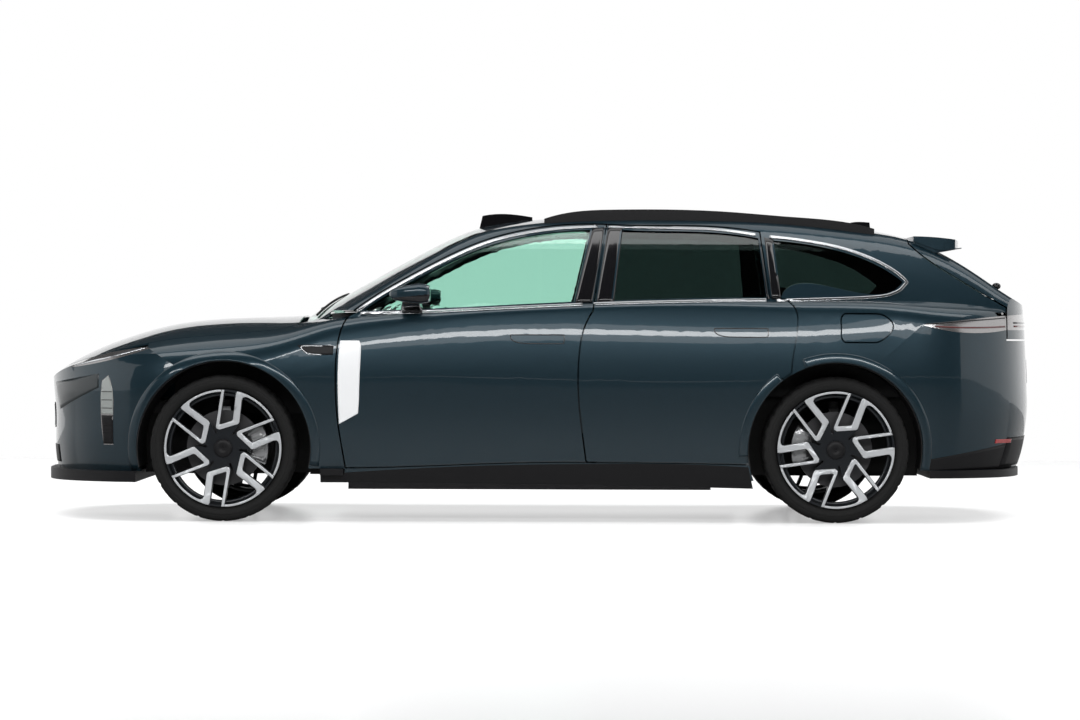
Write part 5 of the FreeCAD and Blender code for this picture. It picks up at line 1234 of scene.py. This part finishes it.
FRONT_FELT_Y, REAR_FELT_Y, FELT_FOOT = 0.476, 0.646, 0.215
FELT_REACH, FELT_THICKNESS, FELT_ROUND = 0.412, 0.003, 0.001
for name, axle, depth, high in (("front_felt", FRONT_AXLE, FRONT_FELT_Y, 0.560),
                                ("rear_felt", REAR_AXLE, REAR_FELT_Y, 0.590)):
    felt_panel = block_piece(name, (axle.x - FELT_REACH, -depth, FELT_FOOT),
                             (axle.x + FELT_REACH, -depth + FELT_THICKNESS, high), felt, FELT_ROUND)
    both_sides(felt_panel, "body")
filler = block_piece("sill_front_trim", (along(0.158), -0.935, up(0.145)),
                     (along(0.196), -0.856, up(0.1655)), trim_black)
both_sides(filler, "body")
for name, low, high in (("sill_end_seal", (-1.095, -0.703, 0.215), (-0.895, -0.700, 0.300)),
                        ("seam_foot_seal", (0.150, -0.703, 0.285), (0.280, -0.700, 0.360))):
    both_sides(block_piece(name, low, high, felt, FELT_ROUND), "body")
print("felt panels at", FRONT_FELT_Y, REAR_FELT_Y)

# %% [markdown]
# ## Door mirrors
#
# Each mirror is a rounded shell that narrows towards the front. Its top is painted and its lower third
# is black. It stands on a foot, and a recessed glass faces the tail. A sculpted block would do, but a
# finely divided cube that is pulled towards a rounded form keeps its faces even, and its three finishes
# can then be given by place.

# %% Door mirrors
mirror_silver = surface("mirror_silver", (30.0, 0.01, 0.03), Base_Color=(0.85, 0.87, 0.88), Metallic=1.0)
MIRROR_LOW, MIRROR_HIGH = [Vector(corner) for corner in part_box("mirror_left")]
MIRROR_MIDDLE = Vector((MIRROR_HIGH.x - 0.108, MIRROR_LOW.y + 0.084, MIRROR_HIGH.z - 0.050))
MIRROR_HALF = Vector((0.104, 0.082, 0.048))
MIRROR_POWER = 3.2
MIRROR_HOLLOW = 0.030
GLASS_FRONT, GLASS_HALF_WIDTH, GLASS_HALF_HEIGHT = 0.066, 0.060, 0.034
FOOT_AT_DOOR, FOOT_THICKNESS = 1.000, 0.011


def mirror_foot():
    """An arm from under the shell to the door, as a mesh that the shell takes in."""
    work = bmesh.new()
    bmesh.ops.create_cube(work, size=2.0)
    bmesh.ops.subdivide_edges(work, edges=work.edges[:], cuts=6, use_grid_fill=True)
    middle = MIRROR_MIDDLE
    start_y, start_z = middle.y + 0.012, middle.z - 0.034
    door_y = width_at(middle.x, 1.005) + 0.004
    for vertex in work.verts:
        share = (vertex.co.y + 1) / 2
        vertex.co = Vector((middle.x - 0.004 + vertex.co.x * (0.038 + 0.014 * share),
                            start_y + share * (door_y - start_y),
                            start_z - share * (start_z - FOOT_AT_DOOR) + vertex.co.z * FOOT_THICKNESS))
    for face in work.faces:
        face.material_index = 1
        face.smooth = True
    mesh = bpy.data.meshes.new("mirror_foot")
    work.to_mesh(mesh)
    work.free()
    return mesh


def mirror_shell():
    """A rounded shell in its box, blunt at the rear and narrow at the front, and its foot."""
    work = bmesh.new()
    bmesh.ops.create_cube(work, size=2.0)
    bmesh.ops.subdivide_edges(work, edges=work.edges[:], cuts=30, use_grid_fill=True)
    middle, half = MIRROR_MIDDLE, MIRROR_HALF
    for vertex in work.verts:
        place = vertex.co.copy()
        norm = sum(abs(value) ** MIRROR_POWER for value in place) ** (1 / MIRROR_POWER)
        place *= max(abs(value) for value in place) / norm
        taper = 0.60 + 0.40 * min((place.x + 1.0) / 1.3, 1.0)
        hollow = 0.0
        if place.x > 0.8:
            across, upward = (max(0.0, 1 - (value / 0.78) ** 2) for value in (place.y, place.z))
            hollow = MIRROR_HOLLOW * across * upward
        vertex.co = Vector((middle.x + place.x * half.x - hollow, middle.y + place.y * half.y * taper,
                            middle.z + place.z * half.z * taper - 0.008 * (1 - taper)))
    for face in work.faces:
        from_middle = face.calc_center_median() - middle
        black = from_middle.z < 0.10 * from_middle.x - 0.012
        silvered = (from_middle.x > GLASS_FRONT and abs(from_middle.y) < GLASS_HALF_WIDTH
                    and abs(from_middle.z) < GLASS_HALF_HEIGHT)
        face.material_index = 2 if silvered else 1 if black else 0
        face.smooth = True
    foot = mirror_foot()
    work.from_mesh(foot)
    bpy.data.meshes.remove(foot)
    return piece_from("mirror_shell", work, paint, gloss_black, mirror_silver)


left_mirror, right_mirror = on_doors(mirror_shell(), "front_door")
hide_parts("mirror_left")
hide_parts("mirror_right")
print("mirror box", [round(value, 3) for value in MIRROR_LOW], [round(value, 3) for value in MIRROR_HIGH])

# %% [markdown]
# ## Inside the cabin
#
# Dark cards line the doors and the roof. They hide the bare inside of the steel, which would shine
# through the glass. Each could be drawn as a panel of its own, but rays thrown outwards from the middle
# of the cabin find every inner face, also where it curves. Where a ray misses, as through a window, the
# card stays open.

# %% Inside the cabin
LINING_OFFSET, LINING_THICKNESS, LINING_CELL = 0.004, 0.002, 0.16


def lining(name, rows, direction, skin, finish):
    """A thin sheet before an inner face. Cells with a missed or a far corner stay open."""
    points, index = [], {}
    for i, row in enumerate(rows):
        for j, place in enumerate(row):
            hit = first_hit(skin, place, direction)
            if hit is not None:
                index[(i, j)] = len(points)
                points.append(hit - direction * LINING_OFFSET)
    faces = []
    for i in range(len(rows) - 1):
        for j in range(len(rows[0]) - 1):
            cell = [(i, j), (i, j + 1), (i + 1, j + 1), (i + 1, j)]
            if all(key in index for key in cell):
                corners = [points[index[key]] for key in cell]
                if max((a - b).length for a in corners for b in corners) < LINING_CELL:
                    faces.append(tuple(index[key] for key in cell))
    sheet = mesh_piece(name, points, faces, finish)
    apply_modifier(sheet, "SOLIDIFY", thickness=LINING_THICKNESS)
    return sheet


OUTWARD, UPWARD = Vector((0, -1, 0)), Vector((0, 0, 1))
CARD_COLUMNS, CARD_ROWS, CARD_START_Y = 24, 18, -0.30
CARD_LOW, CARD_HIGH = 0.33, 0.985
for door, front_share, rear_share in (("front_door", 0.225, 0.565), ("rear_door", 0.630, 0.850)):
    front, rear = along(front_share), along(rear_share)
    rows = [[Vector((front + (rear - front) * i / CARD_COLUMNS, CARD_START_Y,
                     CARD_LOW + (CARD_HIGH - CARD_LOW) * j / CARD_ROWS))
             for j in range(CARD_ROWS + 1)] for i in range(CARD_COLUMNS + 1)]
    on_doors(lining(door + "_card", rows, OUTWARD, skin_of(door + "_left"), cabin_trim), door)
roof_rows = [[Vector((along(0.44) + (along(1.30) - along(0.44)) * i / 40, -0.60 + 1.20 * j / 24, 1.15))
              for j in range(25)] for i in range(41)]
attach(lining("headliner", roof_rows, UPWARD, skin_of("roof"), cabin_trim), "body")
print("cards on the doors and a headliner")

# %% [markdown]
# ## Display and console
#
# A display stands on the dashboard and a console runs between the front seats. Behind dark glass only
# their outlines show, so a box with softened edges is enough for each.

# %% Display and console
screen_glass = surface("screen_glass", (50.0, 0.08, 0.16), Base_Color=(0.008, 0.009, 0.011), Coat_Weight=0.7,
                       Coat_Roughness=0.03)
dash_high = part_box("dashboard")[1]
display = block_piece("display", (dash_high[0] - 0.075, -0.19, dash_high[2] - 0.130),
                      (dash_high[0] - 0.060, 0.19, dash_high[2] + 0.040), screen_glass, 0.004)
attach(display, "body")
console = block_piece("console", (along(0.33), -0.105, 0.264), (along(0.545), 0.105, 0.520),
                      cabin_trim, 0.022)
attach(console, "body")
print("display and console ride on the body")

# %% [markdown]
# ## Wipers
#
# Two wiper arms lie at the foot of the windscreen. A curve with a round bevel could make them, but it
# would have to be laid on the glass by hand. Here a line of places is dropped onto the glass and the
# cowl, and a tube is drawn along it.

# %% Wipers
WIPER_STEPS, WIPER_LIFT, WIPER_RADIUS = 24, 0.009, 0.006
WIPERS = (((-1.075, -0.52), (-0.955, 0.10)), ((-1.085, 0.06), (-0.935, 0.62)))
ABOVE_THE_CAR = 2.0


def tube(name, line, radius, finish, sides=8):
    """A tube along a line of points, closed at both ends."""
    points, faces = [], []
    for index, place in enumerate(line):
        ahead = line[min(index + 1, len(line) - 1)] - line[max(index - 1, 0)]
        ahead.normalize()
        across = ahead.cross(Vector((0, 0, 1))).normalized()
        upward = across.cross(ahead)
        for step in range(sides):
            angle = 2 * math.pi * step / sides
            points.append(place + (across * math.cos(angle) + upward * math.sin(angle)) * radius)
    for index in range(len(line) - 1):
        for step in range(sides):
            a, b = index * sides + step, index * sides + (step + 1) % sides
            faces.append((a, b, b + sides, a + sides))
    faces.append(tuple(reversed(range(sides))))
    faces.append(tuple((len(line) - 1) * sides + step for step in range(sides)))
    return mesh_piece(name, points, faces, finish)


TOP_SKIN = skin_of("windscreen", "cowl", "bonnet", "roof", "body_sides")


def on_top(x, y):
    hit = first_hit(TOP_SKIN, (x, y, ABOVE_THE_CAR), (0, 0, -1))
    return Vector((x, y, (hit.z if hit is not None else 1.0) + WIPER_LIFT))


for index, ((x0, y0), (x1, y1)) in enumerate(WIPERS):
    line = [on_top(x0 + (x1 - x0) * i / WIPER_STEPS, y0 + (y1 - y0) * i / WIPER_STEPS)
            for i in range(WIPER_STEPS + 1)]
    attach(tube("wiper_arm_%d" % index, line, WIPER_RADIUS, trim_black), "body")
print("wipers", len(WIPERS))

# %% [markdown]
# ## Plates, grille and reflectors
#
# Bare plates, a lower grille and two red reflectors lie on the nose and the tail. They are thin things
# that follow the bumpers, so they are thrown on like the pieces of the side, but from the front or from
# behind.

# %% Plates, grille and reflectors
plate_blank = surface("plate_blank", (200.0, 0.35, 0.5), Base_Color=(0.55, 0.56, 0.57), Coat_Weight=0.3)
reflector_red = surface("reflector_red", (500.0, 0.2, 0.35), Base_Color=(0.34, 0.025, 0.025), Coat_Weight=1.0,
                        Coat_Roughness=0.05)
PATCH_COLUMNS, PATCH_ROWS, PATCH_THICKNESS = 24, 8, 0.003
BEYOND_THE_CAR, CAR_END = 3.0, 2.35
NOSE, TAIL = -1, 1
END_SKIN = skin_of("front_bumper", "rear_bumper", "tailgate", "gate_lamp", "lower_trim")


def end_patch(name, side, half_width, low, high, finish, body, offset=0.003, middle=0.0):
    """A sheet over the nose or the tail, thrown along the car."""
    points, faces = [], []
    for i in range(PATCH_COLUMNS + 1):
        for j in range(PATCH_ROWS + 1):
            y = middle - half_width + 2 * half_width * i / PATCH_COLUMNS
            z = low + (high - low) * j / PATCH_ROWS
            hit = first_hit(END_SKIN, (side * BEYOND_THE_CAR, y, z), (-side, 0, 0))
            x = hit.x if hit is not None else side * CAR_END
            points.append(Vector((x + side * offset, y, z)))
    column = PATCH_ROWS + 1
    for i in range(PATCH_COLUMNS):
        for j in range(PATCH_ROWS):
            a = i * column + j
            faces.append((a, a + 1, a + column + 1, a + column))
    sheet = mesh_piece(name, points, faces, finish)
    apply_modifier(sheet, "SOLIDIFY", thickness=PATCH_THICKNESS)
    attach(sheet, body)


end_patch("front_plate_holder", NOSE, 0.275, 0.425, 0.548, gloss_black, "body", 0.004)
end_patch("front_plate", NOSE, 0.255, 0.436, 0.537, plate_blank, "body", 0.006)
end_patch("lower_grille", NOSE, 0.42, 0.262, 0.345, trim_black, "body")
for name, middle in (("left", -0.68), ("right", 0.68)):
    end_patch("rear_reflector_" + name, TAIL, 0.060, 0.374, 0.392, reflector_red, "body", 0.004, middle)
lower_low_share = [(1.433, 0.166), (1.650, 0.166), (1.880, 0.166)]
lower_high_share = [(1.433, 0.199), (1.650, 0.224), (1.880, 0.252)]
lower_rows = between(lower_low_share, lower_high_share, 30, 8)
both_sides(sheet_on("rear_lower_side", lower_rows, trim_black), "body")
end_patch("rear_plate", TAIL, 0.255, 0.655, 0.770, plate_blank, "tailgate")
end_patch("rear_lower_panel", TAIL, 0.66, 0.262, 0.400, trim_black, "body")
print("patches of", PATCH_COLUMNS, "by", PATCH_ROWS, "cells")

# %% [markdown]
# ## Cheeks under the spoiler
#
# The ends of the tailgate's spoiler run down to the glass in a plate on each side. A boolean could cut
# them from a block, but rows of points between the spoiler's edge and the gate need no cutting. Where
# the gate lies far below, a rising line ends the plate instead.

# %% Cheeks under the spoiler
CHEEK_STEPS, CHEEK_LANES, CHEEK_THICKNESS, CHEEK_OVERLAP = 24, 4, 0.030, 0.004
GATE_SKIN = skin_of("tailgate", "body_sides")
cheek_under_share = [(1.400, 0.895), (1.450, 0.8815), (1.500, 0.868), (1.570, 0.866), (1.640, 0.872)]
cheek_plan_share = [(1.400, 0.562), (1.450, 0.574), (1.500, 0.586), (1.570, 0.580), (1.640, 0.500)]
cheek_line_share = [(1.400, 0.834), (1.464, 0.850), (1.520, 0.857), (1.580, 0.864), (1.640, 0.872)]
upper_edge = curve_points(cheek_under_share, CHEEK_STEPS)
lower_edge = curve_points(cheek_line_share, CHEEK_STEPS)
plan_edge = [Vector((along(place), width * 0.98)) for place, width in cheek_plan_share]


def spoiler_cheek():
    """A plate under the spoiler's left end, down to the gate or to a rising line."""
    grid = []
    for (x, top), (_, line) in zip(upper_edge, lower_edge):
        width = 0.0
        for before, after in zip(plan_edge, plan_edge[1:]):
            if before.x <= x <= after.x + 1e-6:
                width = before.y + (after.y - before.y) * (x - before.x) / (after.x - before.x)
        y = -width + CHEEK_OVERLAP
        hit = first_hit(GATE_SKIN, (x, y, top - 0.002), (0, 0, -1))
        foot = max(line, hit.z - 0.002 if hit is not None else line)
        foot = min(foot, top - 0.001)
        start = top + CHEEK_OVERLAP
        grid.append([Vector((x, y, start + (foot - start) * j / CHEEK_LANES))
                     for j in range(CHEEK_LANES + 1)])
    points, faces = slab(grid, CHEEK_THICKNESS)
    return mesh_piece("spoiler_cheek", points, faces, paint)


both_sides(spoiler_cheek(), "tailgate")
print("cheek rows", len(upper_edge))

# %% [markdown]
# ## Lamp line and camera on the tailgate
#
# A black line and a red guide cross the tailgate between the tail lamps, and a small camera ball sits at
# the foot of the rear glass. The ball is a sphere drawn out a little along the car.

# %% Lamp line and camera on the tailgate
BALL_RADIUS, BALL_STRETCH, BALL_BACK, BALL_RISE = 0.017, 1.3, 0.010, 0.040
end_patch("rear_lamp_line", TAIL, 0.60, 0.945, 0.952, gloss_black, "tailgate")
end_patch("rear_guide", TAIL, 0.60, 0.928, 0.936, red_guide, "tailgate")
bpy.ops.object.select_all(action="DESELECT")
bpy.ops.mesh.primitive_uv_sphere_add(segments=24, ring_count=14, radius=BALL_RADIUS)
ball = bpy.context.object
ball.name = "rear_camera"
gate_low, gate_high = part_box("tailgate_glass")
for vertex in ball.data.vertices:
    x, y, z = vertex.co
    vertex.co = Vector((x * BALL_STRETCH + gate_high[0] + BALL_BACK, y, z + gate_low[2] + BALL_RISE))
ball.data.materials.append(gloss_black)
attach(ball, "tailgate")
print("camera ball at", [round(value, 3) for value in (gate_high[0] + BALL_BACK, gate_low[2] + BALL_RISE)])
